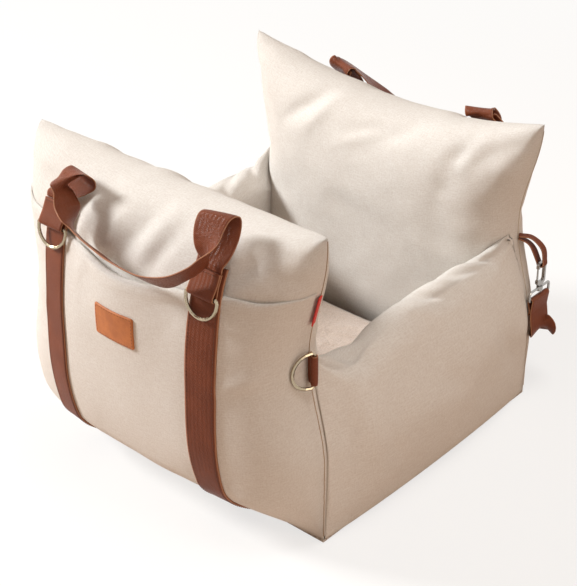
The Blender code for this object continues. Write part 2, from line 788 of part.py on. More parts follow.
def ribbon(name, path, turns, ends, finish, origin, width=WEBBING_WIDTH):
    """Webbing along a path: each point has the direction that the webbing's width takes there."""
    count = len(path)
    points = []
    for k, place in enumerate(path):
        ahead = path[min(k + 1, count - 1)] - path[max(k - 1, 0)]
        if k in (0, count - 1):
            ahead = ends[0] if k == 0 else ends[1]
        ahead = ahead.normalized()
        across = turns[k] - ahead * turns[k].dot(ahead)
        across.normalize()
        normal = ahead.cross(across)
        for side_share, face in ((-0.5, -0.5), (0.0, -0.5), (0.5, -0.5), (0.5, 0.5), (0.0, 0.5), (-0.5, 0.5)):
            points.append(place + across * (width * side_share) + normal * (WEBBING_THICKNESS * face))
    faces = []
    for k in range(count - 1):
        for n in range(6):
            a = k * 6 + n
            b = k * 6 + (n + 1) % 6
            faces.append((a, b, b + 6, a + 6))
    faces.append(tuple(reversed(range(6))))
    faces.append(tuple(range((count - 1) * 6, count * 6)))
    return add_mesh(name, points, faces, finish, origin)


def handle_pivot(side):
    """The line through both keepers' tops, where the handle's webbing flexes."""
    centre = ring_axis(side, 1.0)
    return centre + keeper_rise(side, 1.0) * (KEEPER_HEIGHT + HANDLE_GAP)


def handle_half(side, rise, lean):
    """One half of a handle, with y outwards from the bed: up from the keeper, over into a loop, down in front
    of it and twisting edge on towards the middle. Returns places and the directions of the webbing's width."""
    sign = BED_SIDE[side]
    pivot = handle_pivot(side)
    climb = keeper_rise(side, 1.0)
    y0 = abs(pivot.y)
    z0 = pivot.z
    back = -sign * climb.y / climb.z * rise
    sag_z = z0 - HANDLE_SAG
    sag_y = abs(FACE_Y[side](0.0, sag_z, HANDLE_STANDOFF))
    x0 = STRAP_OFFSET
    places = [
        (x0, y0, z0),
        (x0, y0 + sign * climb.y * HANDLE_START, z0 + climb.z * HANDLE_START),
        (x0 + lean * 0.4, y0 - back * 0.42, z0 + rise * 0.40),
        (x0 + lean * 0.8, y0 - back * 0.78, z0 + rise * 0.70),
        (x0 + lean, y0 - back * 0.80, z0 + rise * 0.91),
        (x0 + lean, y0 - back * 0.45, z0 + rise),
        (x0 + lean * 0.8, y0 + back * 0.05, z0 + rise * 0.88),
        (x0 + lean * 0.5, y0 + LOOP_FRONT * 0.8, z0 + rise * 0.60),
        (x0 + lean * 0.2 - BAND_TWIST_IN * 0.2, y0 + LOOP_FRONT, z0 + rise * 0.30),
        (x0 - BAND_TWIST_IN * 0.55, mix(y0 + LOOP_FRONT, y0 + BAND_OUT, 0.4), z0 + rise * 0.03),
        (x0 - BAND_TWIST_IN, y0 + BAND_OUT, z0 - HANDLE_SAG * 0.55),
        (x0 * 0.56, mix(y0 + BAND_OUT, sag_y, 0.6), sag_z - HANDLE_SAG * 0.2),
        (x0 * 0.28, mix(y0 + BAND_OUT, sag_y, 0.9), sag_z),
    ]
    turns = [(1.0, 0.0, 0.0)] * 6 + [
        (1.0, 0.05, 0.0), (0.97, 0.15, 0.1), (0.85, 0.35, 0.35), (0.6, 0.6, 0.5), (0.3, 0.75, 0.6),
        (0.1, 0.78, 0.62), (0.0, 0.78, 0.62),
    ]
    return places, turns, (0.0, sag_y, sag_z)


def handle(side):
    """The free webbing between two keepers, its right loop standing a little higher than its left."""
    sign = BED_SIDE[side]
    left_rise, right_rise = LOOP_RISES[side]
    right, turns, middle = handle_half(side, right_rise, LOOP_LEAN_RIGHT)
    left, _, _ = handle_half(side, left_rise, LOOP_LEAN_LEFT)
    places = [Vector((x, sign * y, z)) for x, y, z in right + [middle]]
    places += [Vector((-x, sign * y, z)) for x, y, z in reversed(left)]
    widths = [Vector((x, sign * y, z)) for x, y, z in turns + [(0.0, 0.78, 0.62)]]
    widths += [Vector((-x, sign * y, z)) for x, y, z in reversed(turns)]
    path, across = smooth_path(places, widths, 71)
    ends = (places[1] - places[0], places[-1] - places[-2])
    pivot = handle_pivot(side)
    return ribbon(f"{side}_handle", path, across, ends, "webbing", (0.0, pivot.y, pivot.z))


def corner_frame(wall, hand, z):
    """At a corner seam: the seam's place, the way out of the corner, and the way along the outer face."""
    seam = Vector((hand * wall.edge_x(z), wall.side * wall.seam_y(z), z))
    inboard = abs(seam.x) - RING_DROP * 0.55
    on_face = Vector((hand * inboard, wall.surface_y(inboard, z, OUT_BULGE), z))
    along = (on_face - seam).normalized()
    outward = Vector((-along.y, along.x, 0.0))
    if outward.x * hand < 0:
        outward = -outward
    return seam, outward, along


def corner_rings():
    """A ring in a webbing tab on each front corner seam, lying round the corner against the front face."""
    for hand_name, hand in (("left", -1.0), ("right", 1.0)):
        seam, outward, along = corner_frame(FRONT, hand, CORNER_RING_HEIGHT)
        centre = seam + outward * CORNER_TAB_STANDOFF
        fold = (RING_WIRE / 2 + TOUCH_GAP, WEBBING_THICKNESS, CORNER_TAB_LEG, KEEPER_SPREAD)
        upright = Vector((0.0, 0.0, 1.0))
        extrude_fold(
            f"corner_tab_{hand_name}", centre, upright, along, -outward, keeper_width(), fold, "webbing",
        )
        inboard = abs(seam.x) - RING_DROP * 0.62
        touch = Vector((hand * inboard, FRONT.surface_y(inboard, centre.z, OUT_BULGE, CORNER_RING_CLEAR), centre.z))
        bar_half = RING_WIDTH / 2 - RING_WIRE / 2
        d_ring(f"corner_ring_{hand_name}", centre, bar_half, upright, touch - centre, "ring_metal")


def leather_patch():
    low = PATCH_CENTRE_HEIGHT - PATCH_HEIGHT / 2

    def place_x(k, z):
        return PATCH_OFFSET + PATCH_WIDTH * (k / 6 - 0.5)

    def under_y(x, z):
        return pocket_face_y(x, z, TOUCH_GAP)

    def over_y(x, z):
        return pocket_face_y(x, z, TOUCH_GAP + PATCH_THICKNESS)

    sheet("leather_patch", place_x, [(low, low + PATCH_HEIGHT)] * 7, 4, under_y, over_y, "leather")


def side_tag():
    """A short fold of red tape in the right front corner seam."""
    middle = TAG_TOP_HEIGHT - TAG_LENGTH / 2
    seam, outward, along = corner_frame(FRONT, 1.0, middle)
    fold = (TAG_THICKNESS * 0.3, TAG_THICKNESS, TAG_REACH, TAG_THICKNESS * 0.3)
    low = Vector((FRONT.edge_x(middle - TAG_LENGTH / 2), 0.0, -TAG_LENGTH / 2))
    high = Vector((FRONT.edge_x(middle + TAG_LENGTH / 2), 0.0, TAG_LENGTH / 2))
    extrude_fold(
        "side_tag", seam + outward * (TAG_REACH + TAG_STANDOFF), high - low, along, -outward,
        TAG_LENGTH, fold, "tag",
    )


def hang_frame(hand):
    """Where a snap hook hangs beside a rear corner: its place, the way out to the side, the way across."""
    seam = Vector((hand * BACK.edge_x(LOOP_TOP_HEIGHT), BACK.seam_y(LOOP_TOP_HEIGHT), LOOP_TOP_HEIGHT))
    hang = Vector((hand * (BODY_WIDTH / 2 + HANG_OUT), BODY_DEPTH / 2 + HANG_BEHIND, HANG_HEIGHT))
    return seam, hang, Vector((hand, 0.0, 0.0)), Vector((0.0, 1.0, 0.0))


def rear_loop(hand_name, hand):
    """Narrow webbing sewn into the rear corner seam, folded down and round the snap hook's bow."""
    seam, hang, outward, across = hang_frame(hand)
    upright = Vector((0.0, 0.0, 1.0))
    bend = math.hypot(HOOK_THICKNESS / 2, HOOK_WALL / 2) + LOOP_SLACK + WEBBING_THICKNESS / 2
    bow = hang + upright * (LOOP_SLACK * 0.4)
    away = hang - seam
    away.z = 0.0
    seam_across = Vector((-away.y, away.x, 0.0)).normalized() * hand
    start = LOOP_STANDOFF / away.length
    drop = LOOP_TOP_HEIGHT - HANG_HEIGHT
    thick = WEBBING_THICKNESS / 2 + TOUCH_GAP

    def at(share, down):
        return seam + away * share - upright * down

    outer_leg = [at(start, -thick), at(0.55, drop * 0.02), at(0.98, drop * 0.42) + outward * 0.001]
    inner_leg = [at(0.66, drop * 0.50), at(0.42, drop * 0.22), at(start, thick * 1.6)]
    arc = []
    for k in range(9):
        turn = math.radians(20) - math.radians(200) * k / 8
        arc.append(bow + outward * (bend * math.cos(turn)) + upright * (bend * math.sin(turn)))
    turns = [seam_across, seam_across.lerp(across, 0.4), across, across]
    before, before_turns = smooth_path(outer_leg + arc[:1], turns, 7)
    after, after_turns = smooth_path(arc[-1:] + inner_leg, list(reversed(turns)), 6)
    path = before[:-1] + arc + after[1:]
    widths = before_turns[:-1] + [across] * len(arc) + after_turns[1:]
    ends = (path[1] - path[0], path[-1] - path[-2])
    ribbon(f"rear_loop_{hand_name}", path, widths, ends, "webbing", seam, LOOP_WIDTH)


def plate(name, outline, thickness, finish, matrix):
    """A flat outline given thickness evenly both ways."""
    count = len(outline)
    flat = [Vector((p, q, 0.0)) for p, q in outline]
    points = [(p, -thickness / 2, q) for p, q in outline] + [(p, thickness / 2, q) for p, q in outline]
    faces = []
    for triple in tessellate_polygon([flat]):
        faces.append(tuple(triple))
        faces.append(tuple(count + k for k in reversed(triple)))
    for k in range(count):
        n = (k + 1) % count
        faces.append((k, n, count + n, count + k))
    item = add_mesh(name, points, faces, finish)
    item.matrix_world = matrix
    return item


def rod(name, radius, length, centre, axis, finish, matrix, sides=16):
    """A round bar about a local axis through a local centre."""
    work = bmesh.new()
    bmesh.ops.create_cone(
        work, cap_ends=True, segments=sides, radius1=radius, radius2=radius, depth=length
    )
    turn = Vector((0, 0, 1)).rotation_difference(Vector(axis)).to_matrix().to_4x4()
    bmesh.ops.transform(work, matrix=turn, verts=work.verts)
    bmesh.ops.translate(work, verts=work.verts, vec=centre)
    mesh = bpy.data.meshes.new(name)
    work.to_mesh(mesh)
    work.free()
    item = add_object(name, mesh, finish)
    item.matrix_world = matrix
    return item


def combine(target, tool, operation):
    """Joins a helper solid to a piece, or cuts it away, and hides the helper."""
    change = target.modifiers.new(tool.name, "BOOLEAN")
    change.operation = operation
    change.solver = "EXACT"
    change.object = tool
    tool.hide_render = True
    tool.display_type = "WIRE"


def arc_points(centre, radius, start, end, steps):
    """Points on an arc, angles in degrees from +p towards +q."""
    result = []
    for k in range(steps + 1):
        turn = math.radians(mix(start, end, k / steps))
        result.append((centre[0] + radius * math.cos(turn), centre[1] + radius * math.sin(turn)))
    return result


def hook_matrix(hand):
    """Local p runs across the hook to its gate, local y through it, local q up from the swivel's top."""
    hang = hang_frame(hand)[1]
    matrix = Matrix(((0.0, 1.0, 0.0, 0.0), (-1.0, 0.0, 0.0, 0.0), (0.0, 0.0, 1.0, 0.0), (0.0, 0.0, 0.0, 1.0)))
    matrix.translation = hang + Vector((0.0, 0.0, HOOK_WALL / 2 - HOOK_LENGTH))
    return matrix


def gate_pivot():
    return HOOK_WIDTH / 2 - HOOK_WALL / 2, HOOK_SHOULDER + GATE_WIDTH / 2 + TOUCH_GAP


def nose_height():
    """Where the hook's nose ends and its gate begins."""
    return HOOK_LENGTH - HOOK_CORNER - NOSE_LENGTH


def snap_hook(hand_name, hand):
    """Flat cast hook with ears and a pin for its gate, and a headed post that turns in the eye's collar."""
    matrix = hook_matrix(hand)
    half = HOOK_WIDTH / 2
    inner = half - HOOK_WALL
    bend = HOOK_CORNER - HOOK_WALL
    centre_p = half - HOOK_CORNER
    centre_q = HOOK_LENGTH - HOOK_CORNER
    nose = nose_height()
    outline = [(-0.0034, 0.0), (-half, HOOK_SHOULDER * 0.8)]
    outline += arc_points((-centre_p, centre_q), HOOK_CORNER, 180, 90, 6)
    outline += arc_points((centre_p, centre_q), HOOK_CORNER, 90, 0, 6)
    outline += [(half, nose), (inner, nose)]
    outline += arc_points((centre_p, centre_q), bend, 0, 90, 4)
    outline += arc_points((-centre_p, centre_q), bend, 90, 180, 4)
    outline += [(-inner, HOOK_SHOULDER + 0.002), (-inner + 0.0015, HOOK_SHOULDER)]
    outline += [(half, HOOK_SHOULDER), (half, HOOK_SHOULDER * 0.8), (0.0034, 0.0)]
    name = f"snap_hook_{hand_name}"
    hook = plate(name, outline, HOOK_THICKNESS, "hook_metal", matrix)
    pivot_p, pivot_q = gate_pivot()
    ear_radius = GATE_WIDTH / 2 + 0.0002
    for face in (-1.0, 1.0):
        ear_outline = [(pivot_p - ear_radius, HOOK_SHOULDER * 0.55), (pivot_p + ear_radius, HOOK_SHOULDER * 0.75)]
        ear_outline += arc_points((pivot_p, pivot_q), ear_radius, 0, 180, 8)
        ear = plate(f"{name}_ear{int(face)}", ear_outline, EAR_THICKNESS, "hook_metal", matrix)
        outside = HOOK_THICKNESS / 2 - EAR_THICKNESS / 2 + 0.0001
        ear.matrix_world = matrix @ Matrix.Translation((0.0, face * outside, 0.0))
        combine(hook, ear, "UNION")
    pin = rod(f"{name}_pin", PIN_RADIUS, HOOK_THICKNESS, (pivot_p, 0.0, pivot_q), (0, 1, 0), "hook_metal", matrix, 10)
    combine(hook, pin, "UNION")
    post_length = COLLAR_HEIGHT + 2 * TOUCH_GAP + 0.001
    post = rod(
        f"{name}_post", POST_RADIUS, post_length, (0.0, 0.0, 0.001 - post_length / 2), (0, 0, 1), "hook_metal", matrix,
    )
    combine(hook, post, "UNION")
    head_centre = 0.001 - post_length - POST_HEAD_HEIGHT / 2 + 0.0001
    head = rod(f"{name}_head", POST_HEAD_RADIUS, POST_HEAD_HEIGHT, (0, 0, head_centre), (0, 0, 1), "hook_metal", matrix)
    combine(hook, head, "UNION")
    return hook


def gate(hand_name, hand):
    """The sprung gate: a thin bar on the pin, closing the hook up to its nose."""
    matrix = hook_matrix(hand)
    pivot_p, pivot_q = gate_pivot()
    top = nose_height() - TOUCH_GAP
    radius = GATE_WIDTH / 2
    outline = arc_points((0.0, 0.0), radius, 180, 360, 8)
    outline += [(radius, top - pivot_q), (-radius * 0.5, top - pivot_q)]
    thickness = HOOK_THICKNESS - 2 * EAR_THICKNESS - 2 * TOUCH_GAP
    place = matrix @ Matrix.Translation((pivot_p, 0.0, pivot_q))
    bar = plate(f"hook_gate_{hand_name}", outline, thickness, "hook_metal", place)
    hole = rod(
        f"hook_gate_{hand_name}_hole", PIN_RADIUS + PIN_CLEARANCE, HOOK_THICKNESS, (0, 0, 0), (0, 1, 0),
        "hook_metal", place, 10,
    )
    combine(bar, hole, "DIFFERENCE")


def eye_half_width():
    return WEBBING_WIDTH / 2 + EYE_WIRE / 2 + 0.001


def eye_top():
    """Height of the eye's top bar in the hook's own frame."""
    return -TOUCH_GAP - COLLAR_HEIGHT / 2


def eye_bottom():
    return eye_top() - (EYE_HEIGHT - EYE_WIRE)


def swivel_eye(hand_name, hand):
    """Rectangular wire loop for the strap, with a bored collar in its top bar for the hook's post."""
    matrix = hook_matrix(hand)
    half = eye_half_width()
    corner = EYE_WIRE * 0.9
    top = eye_top()
    bottom = eye_bottom()
    outline = arc_points((half - corner, bottom + corner), corner, -90, 0, 3)
    outline += arc_points((half - corner, top - corner), corner, 0, 90, 3)
    outline += arc_points((-half + corner, top - corner), corner, 90, 180, 3)
    outline += arc_points((-half + corner, bottom + corner), corner, 180, 270, 3)
    sides = 8
    count = len(outline)
    points = []
    for k, (p, q) in enumerate(outline):
        before = Vector(outline[k - 1])
        after = Vector(outline[(k + 1) % count])
        tangent = (after - before).normalized()
        normal = Vector((tangent.y, -tangent.x))
        for n in range(sides):
            turn = 2 * math.pi * (n + 0.5) / sides
            out = EYE_WIRE / 2 * math.cos(turn)
            points.append((p + normal.x * out, EYE_WIRE / 2 * math.sin(turn), q + normal.y * out))
    faces = []
    for k in range(count):
        for n in range(sides):
            a, b = k * sides + n, k * sides + (n + 1) % sides
            c, d = ((k + 1) % count) * sides + (n + 1) % sides, ((k + 1) % count) * sides + n
            faces.append((a, b, c, d))
    name = f"swivel_eye_{hand_name}"
    eye = add_mesh(name, points, faces, "hook_metal")
    eye.matrix_world = matrix
    collar = rod(f"{name}_collar", COLLAR_RADIUS, COLLAR_HEIGHT, (0, 0, top), (0, 0, 1), "hook_metal", matrix, 20)
    combine(eye, collar, "UNION")
    bore = rod(
        f"{name}_bore", POST_RADIUS + PIN_CLEARANCE, COLLAR_HEIGHT * 2, (0, 0, top), (0, 0, 1), "hook_metal", matrix,
    )
    combine(eye, bore, "DIFFERENCE")


def strap_half(hand):
    """Route and width directions of the fixing strap's half, from behind the bed's middle to its tail."""
    _, hang, outward, across = hang_frame(hand)
    matrix = hook_matrix(hand)
    upright = Vector((0.0, 0.0, 1.0))
    bar = matrix @ Vector((0.0, 0.0, eye_bottom()))
    bend = EYE_WIRE / 2 + TOUCH_GAP * 2 + WEBBING_THICKNESS / 2
    legs = WEBBING_THICKNESS / 2 + TOUCH_GAP

    def behind(x, z=STRAP_LEVEL):
        return Vector((hand * x, BACK.surface_y(x, z, OUT_BULGE, STRAP_STANDOFF), z))

    def flat_on(x):
        slope = behind(x, STRAP_LEVEL + WEBBING_WIDTH / 2) - behind(x, STRAP_LEVEL - WEBBING_WIDTH / 2)
        return slope.normalized()

    route = [(behind(x), flat_on(x)) for x in (0.0, 0.045, 0.09, 0.135, 0.170)]
    last = behind(0.196)
    route.append((last + across * 0.004, upright))
    low = bar + outward * 0.006
    low.z = STRAP_TURN_HEIGHT
    turn_place = (last + low) / 2 + outward * 0.018 + across * 0.015 - upright * 0.002
    route.append((turn_place, upright * 0.75 + across * -0.65))
    route.append((low, across * -1.0))
    route.append((bar + outward * legs - upright * 0.018, across * -1.0))
    places, widths = smooth_path([place for place, _ in route], [width for _, width in route], 31)
    for k in range(11):
        turn = math.pi * k / 10
        places.append(bar + outward * (bend * math.cos(turn)) + upright * (bend * math.sin(turn)))
        widths.append(across * -1.0)
    for down, apart in ((0.35, 0.9), (0.6, 1.0), (1.0, 1.0)):
        places.append(bar - outward * mix(bend, legs, apart) - upright * (STRAP_TAIL * down))
        widths.append(across * -1.0)
    return places, widths


def fixing_strap():
    """The webbing between the two snap hooks: folded through both eyes, hanging round behind the back wall."""
    right_places, right_widths = strap_half(1.0)
    left_places, left_widths = strap_half(-1.0)
    places = left_places[:0:-1] + right_places
    widths = left_widths[:0:-1] + right_widths
    ends = (places[1] - places[0], places[-1] - places[-2])
    seam, hang, _, _ = hang_frame(1.0)
    ribbon("fixing_strap", places, widths, ends, "webbing", (0.0, hang.y, hang.z))


def build_all():
    clear_scene()
    base_panel()
    wall_pieces("front_wall", FRONT)
    wall_pieces("back_wall", BACK)
    bolster_pieces("left_bolster", -1.0)
    bolster_pieces("right_bolster", 1.0)
    seat_pieces()
    front_pocket()
    leather_patch()
    side_tag()
    for side in ("front", "back"):
        ring_set(side)
        handle(side)
    corner_rings()
    for hand_name, hand in (("left", -1.0), ("right", 1.0)):
        rear_loop(hand_name, hand)
        snap_hook(hand_name, hand)
        gate(hand_name, hand)
        swivel_eye(hand_name, hand)
    fixing_strap()


build_all()
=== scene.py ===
import math

import bmesh
import bpy
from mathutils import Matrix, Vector, noise


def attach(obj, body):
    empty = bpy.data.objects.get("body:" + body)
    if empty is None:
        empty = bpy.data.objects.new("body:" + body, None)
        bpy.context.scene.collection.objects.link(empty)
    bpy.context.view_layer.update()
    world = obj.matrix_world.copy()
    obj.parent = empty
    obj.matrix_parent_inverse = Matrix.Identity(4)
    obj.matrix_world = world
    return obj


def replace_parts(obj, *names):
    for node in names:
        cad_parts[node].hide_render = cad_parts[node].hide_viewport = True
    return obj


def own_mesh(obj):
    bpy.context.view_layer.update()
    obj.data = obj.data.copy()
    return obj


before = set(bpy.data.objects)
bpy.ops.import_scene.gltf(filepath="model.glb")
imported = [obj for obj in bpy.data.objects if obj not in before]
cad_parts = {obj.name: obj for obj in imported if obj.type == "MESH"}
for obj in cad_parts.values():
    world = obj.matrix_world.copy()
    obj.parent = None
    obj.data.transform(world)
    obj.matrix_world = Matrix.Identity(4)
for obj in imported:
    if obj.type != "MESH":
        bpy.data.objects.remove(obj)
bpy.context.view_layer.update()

# Sizes shared with the solids, in metres
BODY_WIDTH = 0.470
BODY_DEPTH = 0.434
FRONT_HEIGHT = 0.428
BACK_HEIGHT = 0.421
TOP_SAG = 0.014
BACK_TOP_SAG = 0.044
OUT_BULGE = 0.101
IN_BULGE = 0.092
FOOT_TUCK = 0.080
PINCH_DEPTH = 0.026
PINCH_HEIGHT = 0.262
PINCH_REACH = 0.150
EAR_FLARE = 0.008
BACK_LEAN = 0.018
SIDE_HEIGHT = 0.252
BOLSTER_WIDTH = 0.062
BOLSTER_TOP = 0.2375
BOLSTER_END_TOP = 0.236
BOLSTER_END_SLANT = 0.022
BOLSTER_DIP = 0.016
BOLSTER_DIP_SHARE = 0.13
BOLSTER_DIP_REACH = 0.22
SIDE_BULGE = 0.026
FLOOR = 0.0043
BASE_THICKNESS = 0.004
SEAT_THICKNESS = 0.100
SEAT_CLEARANCE = 0.004
SEAT_DRAW_IN = 0.010
POCKET_HEIGHT = 0.352
POCKET_SAG = 0.019
POCKET_THICKNESS = 0.0022
POCKET_HEM = 0.006
POCKET_GAPE = 0.013
POCKET_SIDE = 0.0002
SOFT_GAP = 0.0009
TOUCH_GAP = 0.0003
STEEPEST = 4.0
WEBBING_WIDTH = 0.040
WEBBING_THICKNESS = 0.0020
STRAP_OFFSET = 0.125
STRAP_HEM = 0.010
RING_WIRE = 0.0043
RING_WIDTH = 0.052
RING_CORNER = 0.0036
RING_DROP = 0.029
RING_STANDOFF = 0.0003
KEEPER_HEIGHT = 0.030
KEEPER_SPREAD = 0.0005
HANDLE_START = 0.008
HANDLE_GAP = 0.0008
CORNER_RING_HEIGHT = 0.250
CORNER_TAB_STANDOFF = 0.0117
PATCH_WIDTH = 0.0645
PATCH_HEIGHT = 0.0425
PATCH_THICKNESS = 0.0018
PATCH_OFFSET = -0.0020
PATCH_CENTRE_HEIGHT = 0.268
PATCH_CORNER = 0.0028
TAG_LENGTH = 0.040
TAG_REACH = 0.009
TAG_TOP_HEIGHT = 0.352
HANG = (0.2395, 0.229, 0.206)
LOOP_TOP_HEIGHT = 0.244
LOOP_WIDTH = 0.010
FOLD_LENGTH = RING_WIDTH - RING_WIRE - 2 * RING_CORNER - 2 * TOUCH_GAP
LOOP_STANDOFF = 0.0038
LOOP_BEND = 0.0050
EYE_BAR_HEIGHT = 0.1534
EYE_WIRE = 0.0036
STRAP_TAIL = 0.022
STRAP_TURN_HEIGHT = 0.108
STRAP_LEVEL = 0.086
STRAP_STANDOFF = 0.012
RING_HEIGHT = 0.352
SIDE = {"front": -1.0, "back": 1.0}
HANDS = (("left", -1.0), ("right", 1.0))

# Looks only: weave pitches and the seam cord's radius in metres, and how strong the folds are
CANVAS_PITCH = 0.00095
TWILL_COLUMN = 0.0056
TWILL_PITCH = 0.0021
TAPE_PITCH = 0.0011
FRONT_FOLD_DEPTH = 0.85
BACK_FOLD_DEPTH = 1.2
BOLSTER_FOLD_DEPTH = 1.4
CORD_RADIUS = 0.0006


def mix(a, b, share):
    return a + (b - a) * share


def superellipse(share, power):
    return max(0.0, 1.0 - abs(share) ** power) ** (1.0 / power)


def smooth_bump(distance, reach):
    if abs(distance) >= reach:
        return 0.0
    return 0.5 + 0.5 * math.cos(math.pi * distance / reach)


def fade(low, high, value):
    """0 below low, 1 above high and smooth between them."""
    share = min(1.0, max(0.0, (value - low) / (high - low)))
    return share * share * (3.0 - 2.0 * share)


class Wall:
    """One pillow wall as two curved faces over (x, z), the same form as the solid's."""

    BELLY = 0.47

    def __init__(self, side, height, lean, flare, sag, boxiness, inner_boxiness):
        self.side = side
        self.height = height
        self.lean = lean
        self.flare = flare
        self.sag = sag
        self.boxiness = boxiness
        self.inner_boxiness = inner_boxiness

    def edge_x(self, z):
        pinch = PINCH_DEPTH * smooth_bump(z - PINCH_HEIGHT, PINCH_REACH)
        return BODY_WIDTH / 2 - pinch + self.flare * max(0.0, z / self.height) ** 6

    def seam_y(self, z):
        return BODY_DEPTH / 2 - self.lean * max(0.0, z / self.height) ** 2

    def top_z(self, across):
        return self.height - self.sag * (1.0 - across * across)

    def fullness(self, across, up, outside):
        if up > self.BELLY:
            rise = (up - self.BELLY) / (1.0 - self.BELLY)
        else:
            rise = (self.BELLY - up) / (self.BELLY + 0.015)
        if not outside:
            return superellipse(across, self.inner_boxiness) * superellipse(rise, 2.4)
        tuck = 1.0 - max(0.0, 1.0 - up * self.height / FOOT_TUCK) ** 2
        power = 2.4 if up > self.BELLY else 2.2
        return superellipse(across, self.boxiness) * superellipse(rise, power) * tuck

    def point(self, across, up, bulge):
        z = mix(FLOOR, self.top_z(across), up)
        y = self.side * (self.seam_y(z) + bulge * self.fullness(across, up, bulge > 0))
        return Vector((across * self.edge_x(z), y, z))

    def surface_y(self, x, z, bulge, standoff=0.0):
        def height_at(px, pz):
            across = max(-1.0, min(1.0, px / self.edge_x(pz)))
            up = max(0.0, min(1.0, (pz - FLOOR) / (self.top_z(across) - FLOOR)))
            return self.seam_y(pz) + bulge * self.fullness(across, up, bulge > 0)

        step = 0.002
        slope_x = (height_at(x + step, z) - height_at(x - step, z)) / (2 * step)
        slope_z = (height_at(x, z + step) - height_at(x, z - step)) / (2 * step)
        slant = min(STEEPEST, math.sqrt(1.0 + slope_x * slope_x + slope_z * slope_z))
        sign = 1.0 if bulge > 0 else -1.0
        return self.side * (height_at(x, z) + sign * standoff * slant)


FRONT = Wall(-1, FRONT_HEIGHT, 0.0, 0.0, TOP_SAG, 2.7, 1.9)
BACK = Wall(1, BACK_HEIGHT, BACK_LEAN, EAR_FLARE, BACK_TOP_SAG, 1.8, 2.5)
STRAP_SHARE = 2 * STRAP_OFFSET / BODY_WIDTH
RING_Z = {"front": RING_HEIGHT, "back": RING_HEIGHT + BACK.top_z(STRAP_SHARE) - FRONT.top_z(STRAP_SHARE)}


# Material helpers
class Nodes:
    """Short calls for building the nodes of one material or of the world."""

    def __init__(self, owner):
        owner.use_nodes = True
        self.owner = owner
        self.tree = owner.node_tree
        self.shader = self.tree.nodes.get("Principled BSDF")

    def feed(self, value, socket):
        if isinstance(value, tuple):
            socket.default_value = (*value, 1.0)
        elif isinstance(value, (int, float)):
            socket.default_value = value
        else:
            self.tree.links.new(value, socket)

    def add(self, kind, inputs=None, **settings):
        """A new node with its settings, then its inputs fed by place or name."""
        node = self.tree.nodes.new(kind)
        for key, value in settings.items():
            setattr(node, key, value)
        for key, value in (inputs or {}).items():
            self.feed(value, node.inputs[key])
        return node

    def math(self, operation, a, b=0.0):
        return self.add("ShaderNodeMath", {0: a, 1: b}, operation=operation).outputs[0]

    def times(self, a, b):
        return self.math("MULTIPLY", a, b)

    def wave(self, value, pitch):
        return self.math("SINE", self.times(value, 2 * math.pi / pitch))

    def uv(self):
        node = self.add("ShaderNodeUVMap", uv_map="UVMap")
        split = self.add("ShaderNodeSeparateXYZ", {0: node.outputs[0]})
        return split.outputs[0], split.outputs[1]

    def place(self):
        return self.add("ShaderNodeTexCoord").outputs["Object"]

    def vector(self, x, y):
        return self.add("ShaderNodeCombineXYZ", {0: x, 1: y}).outputs[0]

    def noise(self, vector, scale, detail=2.0, roughness=0.5):
        inputs = {"Vector": vector, "Scale": scale, "Detail": detail, "Roughness": roughness}
        return self.add("ShaderNodeTexNoise", inputs).outputs[0]

    def grain(self, across, along, detail=2.0, roughness=0.5):
        """Noise with its own scale across and along the cloth."""
        u, v = self.uv()
        return self.noise(self.vector(self.times(u, across), self.times(v, along)), 1.0, detail, roughness)

    def dots(self, vector, scale, **inputs):
        inputs = {"Vector": vector, "Scale": scale, **inputs}
        return self.add("ShaderNodeTexVoronoi", inputs, feature="F1").outputs[0]

    def spread(self, value, low, high, out_low, out_high):
        inputs = {"Value": value, "From Min": low, "From Max": high, "To Min": out_low, "To Max": out_high}
        return self.add("ShaderNodeMapRange", inputs).outputs[0]

    def blend(self, share, a, b):
        return self.add("ShaderNodeMix", {0: share, 6: a, 7: b}, data_type="RGBA").outputs[2]

    def stain(self, value, low, high, strength, under, over):
        """One colour over another where a value is high, up to a strength."""
        return self.blend(self.spread(value, low, high, 0.0, strength), under, over)

    def bump(self, height, distance, strength, **under):
        inputs = {"Height": height, "Distance": distance, "Strength": strength, **under}
        return self.add("ShaderNodeBump", inputs).outputs[0]

    def finish(self, colour, normal, **values):
        """Feeds the material's shader, with spaces for the underscores in names, and returns the material."""
        for key, value in {"Base_Color": colour, "Normal": normal, **values}.items():
            self.feed(value, self.shader.inputs[key.replace("_", " ")])
        return self.owner

    def output(self, kind, share, a, b):
        both = self.add("ShaderNodeMixShader", {0: share, 1: a, 2: b})
        self.add(kind, {0: both.outputs[0]})


def new_material(name):
    return Nodes(bpy.data.materials.new(name))


def tone(colour, share):
    return tuple(min(1.0, c * share) for c in colour)


